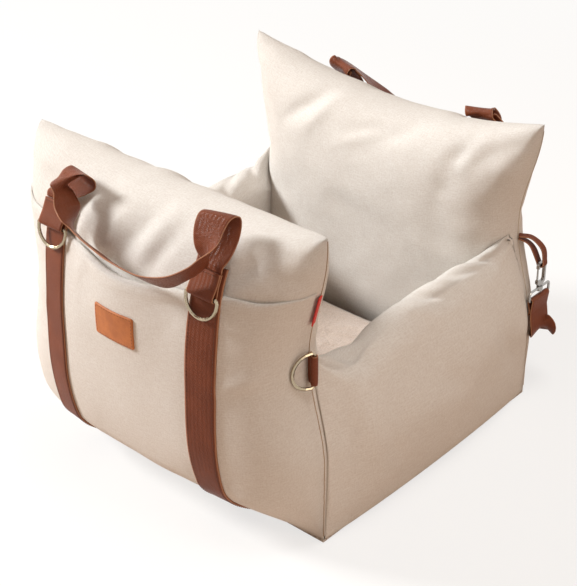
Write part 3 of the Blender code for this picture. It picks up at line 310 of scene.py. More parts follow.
def canvas_material():
    """Cream linen canvas: fine threads both ways, with slubs along the horizontal ones."""
    n = new_material("cream_canvas")
    u, v = n.uv()
    weave = n.times(n.wave(u, CANVAS_PITCH), n.wave(v, CANVAS_PITCH))
    flat = n.grain(70.0, 1150.0, 3.0)
    threads = n.math("ADD", n.times(flat, 0.6), n.times(n.grain(1150.0, 90.0, 3.0), 0.4))
    mottle = n.noise(n.vector(u, v), 420.0)
    cloud = n.noise(n.place(), 9.0, 3.0)
    shade = n.stain(threads, 0.36, 0.62, 0.62, (0.850, 0.832, 0.795), (0.660, 0.605, 0.555))
    shade = n.stain(flat, 0.56, 0.72, 0.22, shade, (0.85, 0.815, 0.77))
    shade = n.stain(mottle, 0.42, 0.70, 0.30, shade, (0.56, 0.495, 0.43))
    shade = n.stain(cloud, 0.40, 0.70, 0.12, shade, (0.73, 0.665, 0.60))
    height = n.math("ADD", n.times(weave, 0.35), n.times(threads, 1.4))
    return n.finish(shade, n.bump(height, 0.00055, 0.9), Roughness=0.88, Sheen_Weight=0.08,
                    Sheen_Roughness=0.5, Specular_IOR_Level=0.10)


def plush_material():
    """Short pinkish beige pile, brushed in patches."""
    n = new_material("beige_plush")
    place = n.place()
    pile = n.noise(place, 420.0, 4.0, 0.7)
    tufts = n.noise(place, 90.0, 3.0, 0.6)
    brushed = n.noise(place, 18.0)
    shade = n.stain(pile, 0.35, 0.68, 0.75, (0.45, 0.34, 0.27), (0.70, 0.58, 0.50))
    shade = n.stain(brushed, 0.35, 0.65, 0.35, shade, (0.72, 0.62, 0.55))
    height = n.math("ADD", n.times(pile, 0.7), n.times(tufts, 1.3))
    return n.finish(shade, n.bump(height, 0.0035, 0.9), Roughness=0.95, Sheen_Weight=0.6,
                    Sheen_Roughness=0.45, Specular_IOR_Level=0.15)


def webbing_material(name, width, rough, crinkle=0.0):
    """Satin webbing in a herringbone twill, with a painted highlight: its edges are coloured paler where the
    folded yarns would catch the light.
    """
    n = new_material(name)
    u, v = n.uv()
    column = n.math("FRACT", n.math("DIVIDE", u, TWILL_COLUMN))
    zigzag = n.times(n.math("ABSOLUTE", n.math("SUBTRACT", column, 0.5)), 2.0)
    run = n.math("ADD", n.math("DIVIDE", v, TWILL_PITCH), n.times(zigzag, 1.35))
    twill = n.wave(run, 1.0)
    yarn = n.grain(1500.0, 260.0)
    worn = n.noise(n.place(), 34.0, 3.0)
    shade = n.stain(twill, -1.0, 1.0, 0.55, BROWN, BROWN_LIGHT)
    shade = n.stain(yarn, 0.35, 0.7, 0.30, shade, tone(BROWN, 0.62))
    shade = n.stain(worn, 0.42, 0.70, 0.22, shade, tone(BROWN_LIGHT, 1.35))
    # Painted highlight: a paler tan band along both edges of the webbing, where rounded edges catch the
    # light.
    edge = n.spread(n.math("ABSOLUTE", u), width / 2 - 0.0010, width / 2 - 0.0003, 0.0, 0.85)
    shade = n.blend(edge, shade, (0.42, 0.20, 0.11))
    normal = n.bump(n.math("ADD", twill, n.times(yarn, 1.2)), 0.00022, 0.8)
    if crinkle:
        normal = n.bump(n.grain(60.0, 120.0, 4.0, 0.6), crinkle, 0.9, Normal=normal)
    return n.finish(shade, normal, Roughness=rough, Sheen_Weight=0.0, Specular_IOR_Level=0.16)


def leather_material():
    n = new_material("tan_leather")
    place = n.place()
    cloud = n.noise(place, 60.0, 3.0)
    fine = n.noise(place, 900.0, 3.0)
    shade = n.stain(cloud, 0.35, 0.68, 1.0, (0.40, 0.120, 0.028), (0.53, 0.170, 0.040))
    shade = n.stain(fine, 0.5, 0.75, 0.3, shade, (0.30, 0.09, 0.025))
    return n.finish(shade, n.bump(n.dots(place, 1100.0), 0.0003, 0.5), Roughness=0.5, Specular_IOR_Level=0.4)


def metal_material(name, base, rough):
    """Polished wire with fine draw marks and slightly dulled patches."""
    n = new_material(name)
    marks = n.noise(n.place(), 700.0)
    dull = n.noise(n.place(), 45.0, 3.0)
    shade = n.stain(dull, 0.35, 0.7, 0.4, base, tone(base, 0.78))
    shine = n.spread(marks, 0.3, 0.7, rough * 0.75, rough * 1.5)
    return n.finish(shade, n.bump(marks, 0.00004, 0.4), Roughness=shine, Metallic=1.0)


def thread_material(name, base):
    n = new_material(name)
    twist = n.noise(n.place(), 1500.0)
    shade = n.stain(twist, 0.35, 0.7, 0.6, base, tone(base, 0.7))
    return n.finish(shade, n.bump(twist, 0.0002, 0.6), Roughness=0.7)


def tape_material(name, base):
    """Plain woven tape with fine cross ribs."""
    n = new_material(name)
    ribs = n.wave(n.uv()[1], TAPE_PITCH)
    yarn = n.grain(900.0, 900.0)
    shade = n.stain(ribs, -1.0, 1.0, 0.5, base, tone(base, 1.3))
    shade = n.stain(yarn, 0.4, 0.7, 0.3, shade, tone(base, 0.7))
    return n.finish(shade, n.bump(n.math("ADD", ribs, yarn), 0.0002, 0.7), Roughness=0.75, Sheen_Weight=0.1)


def base_material():
    """Dark non-slip base cloth with a grid of small dots."""
    n = new_material("base_cloth")
    split = n.add("ShaderNodeSeparateXYZ", {0: n.place()})
    distance = n.dots(n.vector(split.outputs[0], split.outputs[1]), 120.0, Randomness=0.0)
    dot = n.spread(distance, 0.22, 0.30, 1.0, 0.0)
    cloth = n.noise(n.place(), 600.0)
    shade = n.stain(cloth, 0.3, 0.7, 1.0, (0.36, 0.31, 0.27), (0.46, 0.40, 0.35))
    shade = n.blend(n.times(dot, 0.8), shade, (0.62, 0.57, 0.52))
    return n.finish(shade, n.bump(dot, 0.0006, 0.6), Roughness=0.85)


BROWN = (0.150, 0.038, 0.015)
BROWN_LIGHT = (0.250, 0.072, 0.032)
MATERIALS = {
    "canvas": canvas_material(),
    "plush": plush_material(),
    "webbing": webbing_material("brown_webbing", WEBBING_WIDTH, 0.46),
    "handle": webbing_material("brown_handle", WEBBING_WIDTH, 0.30, 0.0020),
    "narrow": webbing_material("narrow_webbing", LOOP_WIDTH, 0.5),
    "leather": leather_material(),
    "ring": metal_material("pale_gold", (0.44, 0.36, 0.25), 0.20),
    "hook": metal_material("polished_steel", (0.42, 0.40, 0.38), 0.24),
    "thread": thread_material("brown_thread", (0.12, 0.045, 0.022)),
    "patch_thread": thread_material("patch_thread", (0.20, 0.062, 0.022)),
    # The cream and tan seam materials colour thin cords that paint the shade lines along the side seams.
    "cream_shade_thread": thread_material("cream_shade_thread", (0.62, 0.53, 0.43)),
    "tan_shade_cord": thread_material("tan_seam_shade", (0.44, 0.31, 0.21)),
    "tag": tape_material("red_tape", (0.62, 0.022, 0.012)),
    "base": base_material(),
}


# Mesh helpers
def finish_piece(name, work, material, body):
    mesh = bpy.data.meshes.new(name)
    work.to_mesh(mesh)
    work.free()
    mesh.materials.append(MATERIALS[material])
    for face in mesh.polygons:
        face.use_smooth = True
    item = bpy.data.objects.new(name, mesh)
    bpy.context.collection.objects.link(item)
    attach(item, body)
    return item


def add_patch(work, layer, points, places, flip=False):
    """A grid of points as quads, with its own flat coordinates in metres."""
    rows, columns = len(points), len(points[0])
    verts = [[work.verts.new(points[r][c]) for c in range(columns)] for r in range(rows)]
    for r in range(rows - 1):
        for c in range(columns - 1):
            keys = [(r, c), (r, c + 1), (r + 1, c + 1), (r + 1, c)]
            if flip:
                keys.reverse()
            face = work.faces.new([verts[a][b] for a, b in keys])
            for loop, (a, b) in zip(face.loops, keys):
                loop[layer].uv = places[a][b]


def flat_places(points):
    """Flat coordinates for a grid: across from its middle column, and along each column from its foot."""
    rows, columns = len(points), len(points[0])
    middle = columns // 2
    across = [0.0] * columns
    centre_row = points[rows // 2]
    for c in range(middle + 1, columns):
        across[c] = across[c - 1] + (centre_row[c] - centre_row[c - 1]).length
    for c in range(middle - 1, -1, -1):
        across[c] = across[c + 1] - (centre_row[c + 1] - centre_row[c]).length
    places = [[(across[c], 0.0) for c in range(columns)]]
    for r in range(1, rows):
        line = []
        for c in range(columns):
            line.append((across[c], places[r - 1][c][1] + (points[r][c] - points[r - 1][c]).length))
        places.append(line)
    return places


def grids(rows, columns, spot):
    """One grid for each value that a spot gives for a row and a column."""
    cells = [[spot(row, column) for column in columns] for row in rows]
    return [[[cell[k] for cell in line] for line in cells] for k in range(len(cells[0][0]))]


def slab_piece(name, top, under, places, material, body):
    """A piece with two faces over one grid, joined along their four edges."""
    work, layer = new_work()
    add_patch(work, layer, top, places or flat_places(top))
    add_patch(work, layer, under, places or flat_places(under), flip=True)
    rims = [(top[row], under[row], places and places[row]) for row in (0, -1)]
    for column in (0, -1):
        rims.append([grid and [line[column] for line in grid] for grid in (top, under, places)])
    for high, low, spots in rims:
        add_patch(work, layer, [high, low], [spots] * 2 if spots else flat_places([high, low]))
    close_up(work)
    return finish_piece(name, work, material, body)


def new_work():
    work = bmesh.new()
    return work, work.loops.layers.uv.new("UVMap")


def close_up(work):
    bmesh.ops.remove_doubles(work, verts=work.verts, dist=1e-5)
    bmesh.ops.dissolve_degenerate(work, edges=work.edges, dist=1e-7)
    bmesh.ops.recalc_face_normals(work, faces=work.faces)


def even(count, crowd):
    """Places from -1 to 1, crowded towards both ends by a share."""
    result = []
    for k in range(count + 1):
        t = -1.0 + 2.0 * k / count
        result.append(mix(t, math.sin(t * math.pi / 2), crowd))
    return result


def fold_height(fold, x, z):
    """Height of one soft fold at a place: a ridge, or a valley if its height is negative."""
    x0, z0, x1, z1, width, height = fold
    run_x, run_z = x1 - x0, z1 - z0
    length = math.hypot(run_x, run_z)
    along = ((x - x0) * run_x + (z - z0) * run_z) / (length * length)
    side = ((x - x0) * run_z - (z - z0) * run_x) / length
    near = min(1.0, max(0.0, along))
    beyond = abs(along - near) * length
    taper = 0.35 + 0.65 * math.sin(math.pi * near)
    area = width * width
    return height * taper * math.exp(-(side * side) / area - (beyond * beyond) / (area * 2.0))


def swell(x, y, z, scale, seed):
    return noise.noise(Vector((x * scale + seed, y * scale, z * scale - seed)))


def metres(rows):
    return [tuple(value / 1000.0 for value in row) for row in rows]


# Soft folds: start x and z, end x and z, width and height, in millimetres
FRONT_FOLDS = metres([
    (-70, 328, -60, 392, 9.5, -3), (-90, 330, -80, 378, 9, 4),
    (-46, 332, -24, 400, 10, 4.2), (-26, 336, 16, 404, 10, -4.2),
    (6, 334, 40, 402, 10.5, 3.5), (30, 342, 62, 402, 11, -4),
    (-195, 392, -130, 386, 11, -4), (-135, 372, -85, 398, 12, -4.5),
    (-160, 360, -105, 372, 12, 3.5), (140, 362, 188, 408, 13, -6),
    (120, 385, 150, 412, 11, 3.5), (165, 340, 215, 352, 12, -2.5),
])
POCKET_FOLDS = metres([
    (-80, 300, -60, 335, 12, 1.8), (40, 275, 95, 330, 14, -2.2),
    (150, 235, 205, 262, 11, 2.2), (160, 215, 200, 225, 12, -1.6),
    (-205, 250, -150, 235, 11, 2), (-10, 110, 60, 80, 20, -1.6),
    (150, 90, 200, 60, 16, 1.8),
])
BACK_FOLDS = metres([
    (-87, 380, -139, 338, 10, -5.6), (-70, 370, -104, 330, 9, 3.2),
    (68, 374, 4, 345, 10.5, -6), (45, 362, -37, 331, 9, 3.2),
    (22, 366, -30, 348, 8, -3), (153, 378, 131, 348, 11, -5),
    (172, 378, 150, 342, 11, 3.2), (232, 404, 152, 350, 15, -4.6),
    (150, 345, 125, 300, 18, -4), (125, 300, 140, 215, 22, -3.6),
    (-235, 385, -190, 330, 12, -4.2), (-225, 285, -178, 262, 11, -3),
    (-60, 250, 20, 225, 24, -2.4),
])


def wall_relief(wall, outer, x, z):
    """Folds, puckers at the side seams and gentle lumps of one face of a pillow, outwards from it."""
    folds, depth = (FRONT_FOLDS, FRONT_FOLD_DEPTH) if wall.side < 0 else (BACK_FOLDS, BACK_FOLD_DEPTH)
    if outer == (wall.side < 0):
        height = sum(depth * fold_height(fold, x, z) for fold in folds)
    else:
        height = sum(fold_height(fold, -x * 0.96, z - 0.004) for fold in folds)
    edge = wall.edge_x(z) - abs(x)
    seed = 3.1 if outer else 17.7
    pucker = noise.noise(Vector((seed * wall.side, z * 46.0, edge * 9.0)))
    height += 0.0030 * pucker * math.exp(-edge / 0.030) * fade(0.0, 0.010, edge)
    height += 0.0030 * swell(x, seed, z, 11.0, seed) * fade(0.0, 0.05, edge)
    height += 0.0010 * swell(x, seed, z, 34.0, seed * 2.0) * fade(0.0, 0.03, edge)
    if outer and wall.side < 0:
        height *= fade(0.318, 0.345, z)
    if outer and wall.side > 0:
        height = min(height, 0.0) * 0.6 if z < 0.30 else height * fade(0.30, 0.36, z)
    return height


def pillow(name, wall, columns, rows):
    """The stuffed canvas wall: two faces over one outline, closed over the top, with folds and puckers."""
    work, layer = new_work()
    ups = [0.5 + 0.5 * t for t in even(rows, 0.75)]
    acrosses = even(columns, 0.6)
    for bulge, outer in ((OUT_BULGE, True), (-IN_BULGE, False)):
        points = [[wall.point(a, up, bulge) for a in acrosses] for up in ups]
        places = flat_places(points)
        moved = []
        for r in range(rows + 1):
            line = []
            for c in range(columns + 1):
                point = points[r][c]
                rim = r in (0, rows) or c in (0, columns)
                if not rim:
                    right = points[r][c + 1] - points[r][c - 1]
                    up = points[r + 1][c] - points[r - 1][c]
                    normal = right.cross(up).normalized()
                    if normal.y * wall.side * (1.0 if outer else -1.0) < 0:
                        normal = -normal
                    share = superellipse((ups[r] - 0.5) * 2.0, 8.0)
                    point = point + normal * (wall_relief(wall, outer, point.x, point.z) * share)
                line.append(point)
            moved.append(line)
        add_patch(work, layer, moved, places, flip=not outer)
    close_up(work)
    item = finish_piece(name, work, "canvas", "bed")
    return item


def bolster_top_z(across, share, belly):
    """Round on top along its middle; at each end it slants up to the corner of the pillow that it joins."""
    dip = BOLSTER_DIP * smooth_bump(share - BOLSTER_DIP_SHARE, BOLSTER_DIP_REACH)
    crown = BOLSTER_WIDTH * 0.46
    middle = BOLSTER_TOP + 0.010 * (share - 0.5) - dip - crown + crown * superellipse(across, 2.1)
    end = BOLSTER_END_TOP + BOLSTER_END_SLANT * across - 0.004 * across * across
    return mix(end, middle, fade(0.0, 0.75, belly))


BOLSTER_FOLDS = metres([
    (-170, 285, -132, 225, 11, -5), (-150, 290, -110, 240, 11, 3.2),
    (-6, 275, 40, 236, 8.5, -4.4), (-40, 265, 4, 226, 9, 2.8),
    (46, 300, 110, 250, 11, -3.8), (120, 300, 160, 225, 10, -4.4),
    (-185, 60, -172, 190, 18, -3.4), (-150, 200, -128, 60, 20, 3),
    (-30, 150, 60, 110, 22, -2.4), (130, 150, 180, 60, 18, -3.2),
])


def bolster(name, hand):
    """A stuffed side between the two walls: crowned top, swelling outer side, creases at both ends."""
    def place(column, station, row):
        across = math.sin(math.pi / 2 * (2 * column - 1))
        share = 0.5 + 0.5 * mix(2 * station - 1, math.sin(math.pi / 2 * (2 * station - 1)), 0.6)
        belly = max(0.0, 4.0 * share * (1.0 - share)) ** 0.75
        z = mix(FLOOR, bolster_top_z(across, share, belly), row ** 1.2)
        outer = min(FRONT.edge_x(z), BACK.edge_x(z))
        inner = BODY_WIDTH / 2 - BOLSTER_WIDTH
        rise = (z - BASE_THICKNESS) / SIDE_HEIGHT
        outer += SIDE_BULGE * superellipse(min(1.0, abs(2.0 * rise - 0.95)), 2.0) * belly
        x = mix(inner, outer, 0.5 + 0.5 * across)
        gap = 0.0010 + 0.0012 * max(0.0, across) ** 8
        y = mix(FRONT.surface_y(x, z, -IN_BULGE, gap), BACK.surface_y(x, z, -IN_BULGE, gap), share)
        return Vector((hand * x, y, z))

    def relief(point, around):
        height = sum(BOLSTER_FOLD_DEPTH * fold_height(fold, point.y, around) for fold in BOLSTER_FOLDS)
        height += 0.0034 * swell(point.x, point.y, point.z, 10.0, 5.0 + hand)
        height += 0.0012 * swell(point.x, point.y, point.z, 30.0, 9.0 + hand)
        return height

    columns, stations, rows = 34, 90, 44
    work, layer = new_work()
    loop = [(1.0, row / rows) for row in range(rows)]
    loop += [(1.0 - column / columns, 1.0) for column in range(columns)]
    loop += [(0.0, 1.0 - row / rows) for row in range(rows)]
    loop += [(column / columns, 0.0) for column in range(columns + 1)]
    points = []
    for column, row in loop:
        points.append([place(column, station / stations, row) for station in range(stations + 1)])
    places = flat_places(points)
    moved = []
    last = len(points) - 1
    for r, line in enumerate(points):
        new_line = []
        for c, point in enumerate(line):
            before = points[r - 1 if r else last - 1][c]
            after = points[r + 1 if r < last else 1][c]
            near = line[max(0, c - 1)]
            far = line[min(stations, c + 1)]
            normal = (far - near).cross(after - before)
            normal.normalize()
            centre = Vector((hand * (BODY_WIDTH / 2 - BOLSTER_WIDTH / 2), point.y, SIDE_HEIGHT / 2))
            if normal.dot(point - centre) < 0:
                normal = -normal
            share = c / stations
            ends = fade(0.0, 0.12, min(share, 1.0 - share) * 2.0)
            lift = fade(0.0, 0.03, point.z - FLOOR)
            around = places[r][c][1]
            new_line.append(point + normal * (relief(point, around) * ends * lift))
        moved.append(new_line)
    moved[last] = [point.copy() for point in moved[0]]
    add_patch(work, layer, moved, places)
    for end in (0, stations):
        ring = [line[end] for line in moved[:-1]]
        verts = [work.verts.new(point) for point in ring]
        middle = sum(ring, Vector()) / len(ring)
        hub = work.verts.new(middle)
        for k in range(len(verts)):
            work.faces.new((verts[k], verts[(k + 1) % len(verts)], hub))
    close_up(work)
    item = finish_piece(name, work, "canvas", "bed")
    return item


SEAT_CENTRE_Y = -BACK_LEAN * 0.18
SEAT_HALF_X = BODY_WIDTH / 2 - BOLSTER_WIDTH - SEAT_CLEARANCE
SEAT_HALF_Y = BODY_DEPTH / 2 - IN_BULGE - SEAT_CLEARANCE + SEAT_CENTRE_Y


def seat_cushion():
    """Plush cushion: crowned top, sides drawn in, a rounded rim and shallow hollows in its pile."""
    def place(a, b, level):
        across = superellipse(level, 3.2)
        half_x = SEAT_HALF_X - 0.004 - SEAT_DRAW_IN * 0.5 * (1.0 - b * b)
        wall = FRONT if b < 0 else BACK
        room = IN_BULGE * (1.0 - superellipse(a * SEAT_HALF_X / (BODY_WIDTH / 2), wall.inner_boxiness))
        half_y = SEAT_HALF_Y + room - 0.005
        rim = mix(0.93, 1.0, across)
        return a * half_x * rim, SEAT_CENTRE_Y + b * half_y * rim

    cells, bands = 56, 12
    work, layer = new_work()
    grid = even(cells, 0.7)
    top = FLOOR + SEAT_THICKNESS

    def height(a, b, x, y):
        dome = 0.013 * superellipse(a, 2.4) * superellipse(b, 2.4)
        lumps = 0.0022 * swell(x, y, 0.0, 26.0, 4.0) + 0.0012 * swell(x, y, 0.0, 80.0, 8.0)
        return top - 0.013 + dome + lumps * superellipse(a, 4.0) * superellipse(b, 4.0)

    def spot(b, a):
        x, y = place(a, b, 1.0)
        return Vector((x, y, height(a, b, x, y))), Vector((x, y, FLOOR))

    over, under = grids(grid, grid, spot)
    add_patch(work, layer, over, flat_places(over))
    add_patch(work, layer, under, flat_places(under), flip=True)
    rim = [(a, -1.0) for a in grid] + [(1.0, b) for b in grid[1:]]
    rim += [(a, 1.0) for a in reversed(grid[:-1])] + [(-1.0, b) for b in reversed(grid[:-1])]
    wall_points = []
    for band in range(bands + 1):
        level = -1.0 + 2.0 * band / bands
        line = []
        for a, b in rim:
            x, y = place(a, b, level)
            z = mix(FLOOR, height(a, b, x, y), 0.5 + 0.5 * math.sin(level * math.pi / 2))
            line.append(Vector((x, y, z)))
        wall_points.append(line)
    add_patch(work, layer, wall_points, flat_places(wall_points))
    close_up(work)
    item = finish_piece("seat_plush", work, "plush", "seat")
    return item


def pocket_mouth_z(x):
    return POCKET_HEIGHT - POCKET_SAG * smooth_bump(x, STRAP_OFFSET + WEBBING_WIDTH)


def pocket_standoff(x, z):
    reach = STRAP_OFFSET - WEBBING_WIDTH / 2
    gape = smooth_bump(x, reach) * smooth_bump(pocket_mouth_z(x) - z, POCKET_HEIGHT * 0.45)
    return SOFT_GAP + POCKET_GAPE * gape


def pocket_relief(x, z):
    """Slack in the pocket panel, eased off under the straps and at its sewn edges."""
    height = sum(fold_height(fold, x, z) for fold in POCKET_FOLDS)
    height += 0.0016 * swell(x, 0.0, z, 14.0, 2.0)
    across = min(1.0, abs(x) / FRONT.edge_x(z))
    return max(-0.0004, height * fade(0.0, 0.02, z - POCKET_HEM) * fade(1.0, 0.9, across))


def pocket_face_y(x, z, standoff=0.0):
    total = pocket_standoff(x, z) + POCKET_THICKNESS + standoff + pocket_relief(x, z)
    return FRONT.surface_y(x, z, OUT_BULGE, total)


def front_pocket():
    """The panel over the lower front wall, seam to seam, with a double hem along its sagging mouth."""
    columns, rows = 150, 100

    def spot(k, share):
        rough_x = share * (BODY_WIDTH / 2 - PINCH_DEPTH * 0.8)
        high = pocket_mouth_z(rough_x) + 0.0012 * swell(rough_x, 0.0, 0.0, 40.0, 6.0)
        high += 0.007 * fade(0.80, 1.0, abs(share))
        z = mix(POCKET_HEM, high, (k / rows) ** 1.05)
        x = share * (FRONT.edge_x(z) - POCKET_SIDE)
        below = high - z
        hem = 0.0011 * fade(0.016, 0.0135, below) - 0.0012 * smooth_bump(below - 0.0125, 0.0022)
        roll = 0.0009 * smooth_bump(below, 0.003)
        at_seam = min(1.0, (1.0 - abs(share)) / 0.12) ** 0.7
        stand = pocket_standoff(x, z)
        slack = pocket_relief(x, z)
        face_out = (stand + POCKET_THICKNESS + slack + hem - roll) * mix(0.03, 1.0, at_seam)
        rear_out = (stand * 0.6 + max(0.0, slack)) * mix(0.01, 1.0, at_seam)
        return [Vector((x, FRONT.surface_y(x, z, OUT_BULGE, out), z)) for out in (face_out, rear_out)]

    outer, inner = grids(range(rows + 1), even(columns, 0.75), spot)
    item = slab_piece("pocket_panel", outer, inner, None, "canvas", "bed")
    middle = columns // 2
    width = sum((b - a).length for a, b in zip(outer[rows // 2], outer[rows // 2][1:]))
    length = sum((b[middle] - a[middle]).length for a, b in zip(outer, outer[1:]))
    return item


def back_face_y(x, z, standoff=0.0):
    return BACK.surface_y(x, z, OUT_BULGE, standoff)


FACE_Y = {"front": pocket_face_y, "back": back_face_y}


# Rings of one stitch: place along it, share of its radius, and rise over the cloth in radii
STITCH_RINGS = ((0.0, 0.5, -0.4), (0.2, 1.0, 0.35), (0.8, 1.0, 0.35), (1.0, 0.5, -0.4))


def stitch_row(name, points, normals, thread, length=0.0030, gap=0.0016, radius=0.00042):
    """A row of sewing stitches along a line of points, each a short rounded bar lying on the cloth."""
    work = new_work()[0]
    lengths = run_lengths(points)

    def at(distance):
        k, share = find_run(lengths, distance)
        return points[k].lerp(points[k + 1], share), normals[k].lerp(normals[k + 1], share).normalized()

    start = gap
    while start + length < lengths[-1]:
        first, up_a = at(start)
        last, up_b = at(start + length)
        along = (last - first).normalized()
        side = along.cross(up_a).normalized()
        rings = []
        for share, swell_share, sink in STITCH_RINGS:
            centre = first.lerp(last, share) + up_a.lerp(up_b, share) * (radius * sink)
            ring = []
            for n in range(6):
                turn = math.pi * n / 3
                offset = side * math.cos(turn) + up_a * math.sin(turn)
                ring.append(work.verts.new(centre + offset * (radius * swell_share)))
            rings.append(ring)
        for a, b in zip(rings, rings[1:]):
            for n in range(6):
                work.faces.new((a[n], a[(n + 1) % 6], b[(n + 1) % 6], b[n]))
        work.faces.new(list(reversed(rings[0])))
        work.faces.new(rings[-1])
        start += length + gap
    bmesh.ops.recalc_face_normals(work, faces=work.faces)
    finish_piece(name, work, thread, "bed")


def face_stitches(name, face_y, places, offset, thread, side):
    """Stitches along (x, z) places on a face whose y is known there."""
    points = [Vector((x, face_y(x, z, offset), z)) for x, z in places]
    normals = []
    for x, z in places:
        slope_x = (face_y(x + 0.002, z, offset) - face_y(x - 0.002, z, offset)) / 0.004
        slope_z = (face_y(x, z + 0.002, offset) - face_y(x, z - 0.002, offset)) / 0.004
        normals.append(Vector((-slope_x, 1.0, -slope_z)).normalized() * side)
    stitch_row(name, points, normals, thread)


def sewn_strap(side, hand_name, hand):
    """Webbing lying on the outer face, from the base hem to behind the ring keeper."""
    face_y = FACE_Y[side]
    top = RING_Z[side] + KEEPER_HEIGHT - 0.001
    rows, columns = 90, 10

    def spot(k, j):
        z = mix(STRAP_HEM, top, (k / rows) ** 1.15)
        share = 2.0 * j / columns - 1.0
        x = hand * STRAP_OFFSET + share * WEBBING_WIDTH / 2
        edge = 0.0006 * abs(share) ** 12
        face, rear = [face_y(x, z, out) for out in (SOFT_GAP + WEBBING_THICKNESS - edge, SOFT_GAP * 0.3)]
        return Vector((x, face, z)), Vector((x, rear, z)), (share * WEBBING_WIDTH / 2, z)

    outer, inner, places = grids(range(rows + 1), range(columns + 1), spot)
    item = slab_piece(f"{side}_webbing_{hand_name}", outer, inner, places, "webbing", "bed")
    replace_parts(item, f"{side}_strap_{hand_name}")
    for edge in (-1.0, 1.0):
        x = hand * STRAP_OFFSET + edge * (WEBBING_WIDTH / 2 - 0.0028)
        line = [(x, mix(STRAP_HEM + 0.004, RING_Z[side] - 0.008, k / 60)) for k in range(61)]
        face_stitches(
            f"{side}_webbing_{hand_name}_seam_{'a' if edge < 0 else 'b'}", face_y, line,
            SOFT_GAP + WEBBING_THICKNESS, "thread", SIDE[side],
        )


def run_lengths(points):
    lengths = [0.0]
    for a, b in zip(points, points[1:]):
        lengths.append(lengths[-1] + (b - a).length)
    return lengths


def find_run(lengths, distance):
    """Which step of a line holds a distance along it, and the share along that step."""
    k = 0
    while k < len(lengths) - 2 and lengths[k + 1] < distance:
        k += 1
    share = (distance - lengths[k]) / max(1e-9, lengths[k + 1] - lengths[k])
    return k, min(1.0, max(0.0, share))


def curve_value(values, station):
    last = len(values) - 1
    k = min(int(station), last - 1)
    t = station - k
    p1, p2 = values[k], values[k + 1]
    p0 = values[k - 1] if k > 0 else p1 * 2 - p2
    p3 = values[k + 2] if k + 2 <= last else p2 * 2 - p1
    straight = p1 * 2 + (p2 - p0) * t
    square = (p0 * 2 - p1 * 5 + p2 * 4 - p3) * t * t
    cube = (p1 * 3 - p0 - p2 * 3 + p3) * t * t * t
    return (straight + square + cube) * 0.5


def smooth_path(places, turns, count):
    """Points spaced evenly along a smooth curve through the places, and the turns at the same stations."""
    steps = 24
    stations = [k / steps for k in range((len(places) - 1) * steps + 1)]
    fine = [curve_value(places, station) for station in stations]
    lengths = run_lengths(fine)
    path, across = [], []
    for n in range(count):
        k, share = find_run(lengths, lengths[-1] * n / (count - 1))
        station = mix(stations[k], stations[k + 1], share)
        path.append(curve_value(places, station))
        across.append(curve_value(turns, station))
    return path, across


def ribbon(name, path, turns, width, material, body, cup=0.0, square=True):
    """Webbing along a path with rounded edges. Each point has the direction of the webbing's width."""
    columns = 8
    count = len(path)
    upper, lower, places = [], [], []
    run = 0.0
    for k, place in enumerate(path):
        if k:
            run += (path[k] - path[k - 1]).length
        ahead = (path[min(k + 1, count - 1)] - path[max(k - 1, 0)]).normalized()
        across = turns[k].normalized()
        if square:
            across = (across - ahead * across.dot(ahead)).normalized()
        normal = ahead.cross(across).normalized()
        high, low, spots = [], [], []
        for j in range(columns + 1):
            share = 2.0 * j / columns - 1.0
            share = mix(share, math.sin(share * math.pi / 2), 0.5)
            thick = WEBBING_THICKNESS / 2 * (1.0 - 0.35 * abs(share) ** 10)
            bend = normal * (cup * (1.0 - share * share))
            centre = place + across * (share * width / 2) + bend
            high.append(centre + normal * thick)
            low.append(centre - normal * thick)
            spots.append((share * width / 2, run))
        upper.append(high)
        lower.append(low)
        places.append(spots)
    return slab_piece(name, upper, lower, places, material, body)


def ring_centre(side, hand):
    """The middle of a D-ring's straight bar, in the fold of webbing over the sewn strap."""
    x = hand * STRAP_OFFSET
    reach = SOFT_GAP + WEBBING_THICKNESS + RING_STANDOFF + WEBBING_THICKNESS + RING_WIRE / 2
    faces = [FACE_Y[side](x + end * WEBBING_WIDTH / 2, RING_Z[side], reach) for end in (-1.0, 0.0, 1.0)]
    return Vector((x, max(faces, key=abs), RING_Z[side]))


def keeper_rise(side):
    low = FACE_Y[side](STRAP_OFFSET, RING_Z[side], 0.0)
    high = FACE_Y[side](STRAP_OFFSET, RING_Z[side] + KEEPER_HEIGHT, 0.0)
    return Vector((0.0, high - low, KEEPER_HEIGHT)).normalized()


def stations(rows):
    """Places of a band in millimetres, each with the direction of its width in hundredths."""
    return [(tuple(x / 1000.0 for x in place), tuple(x / 100.0 for x in turn)) for place, turn in rows]


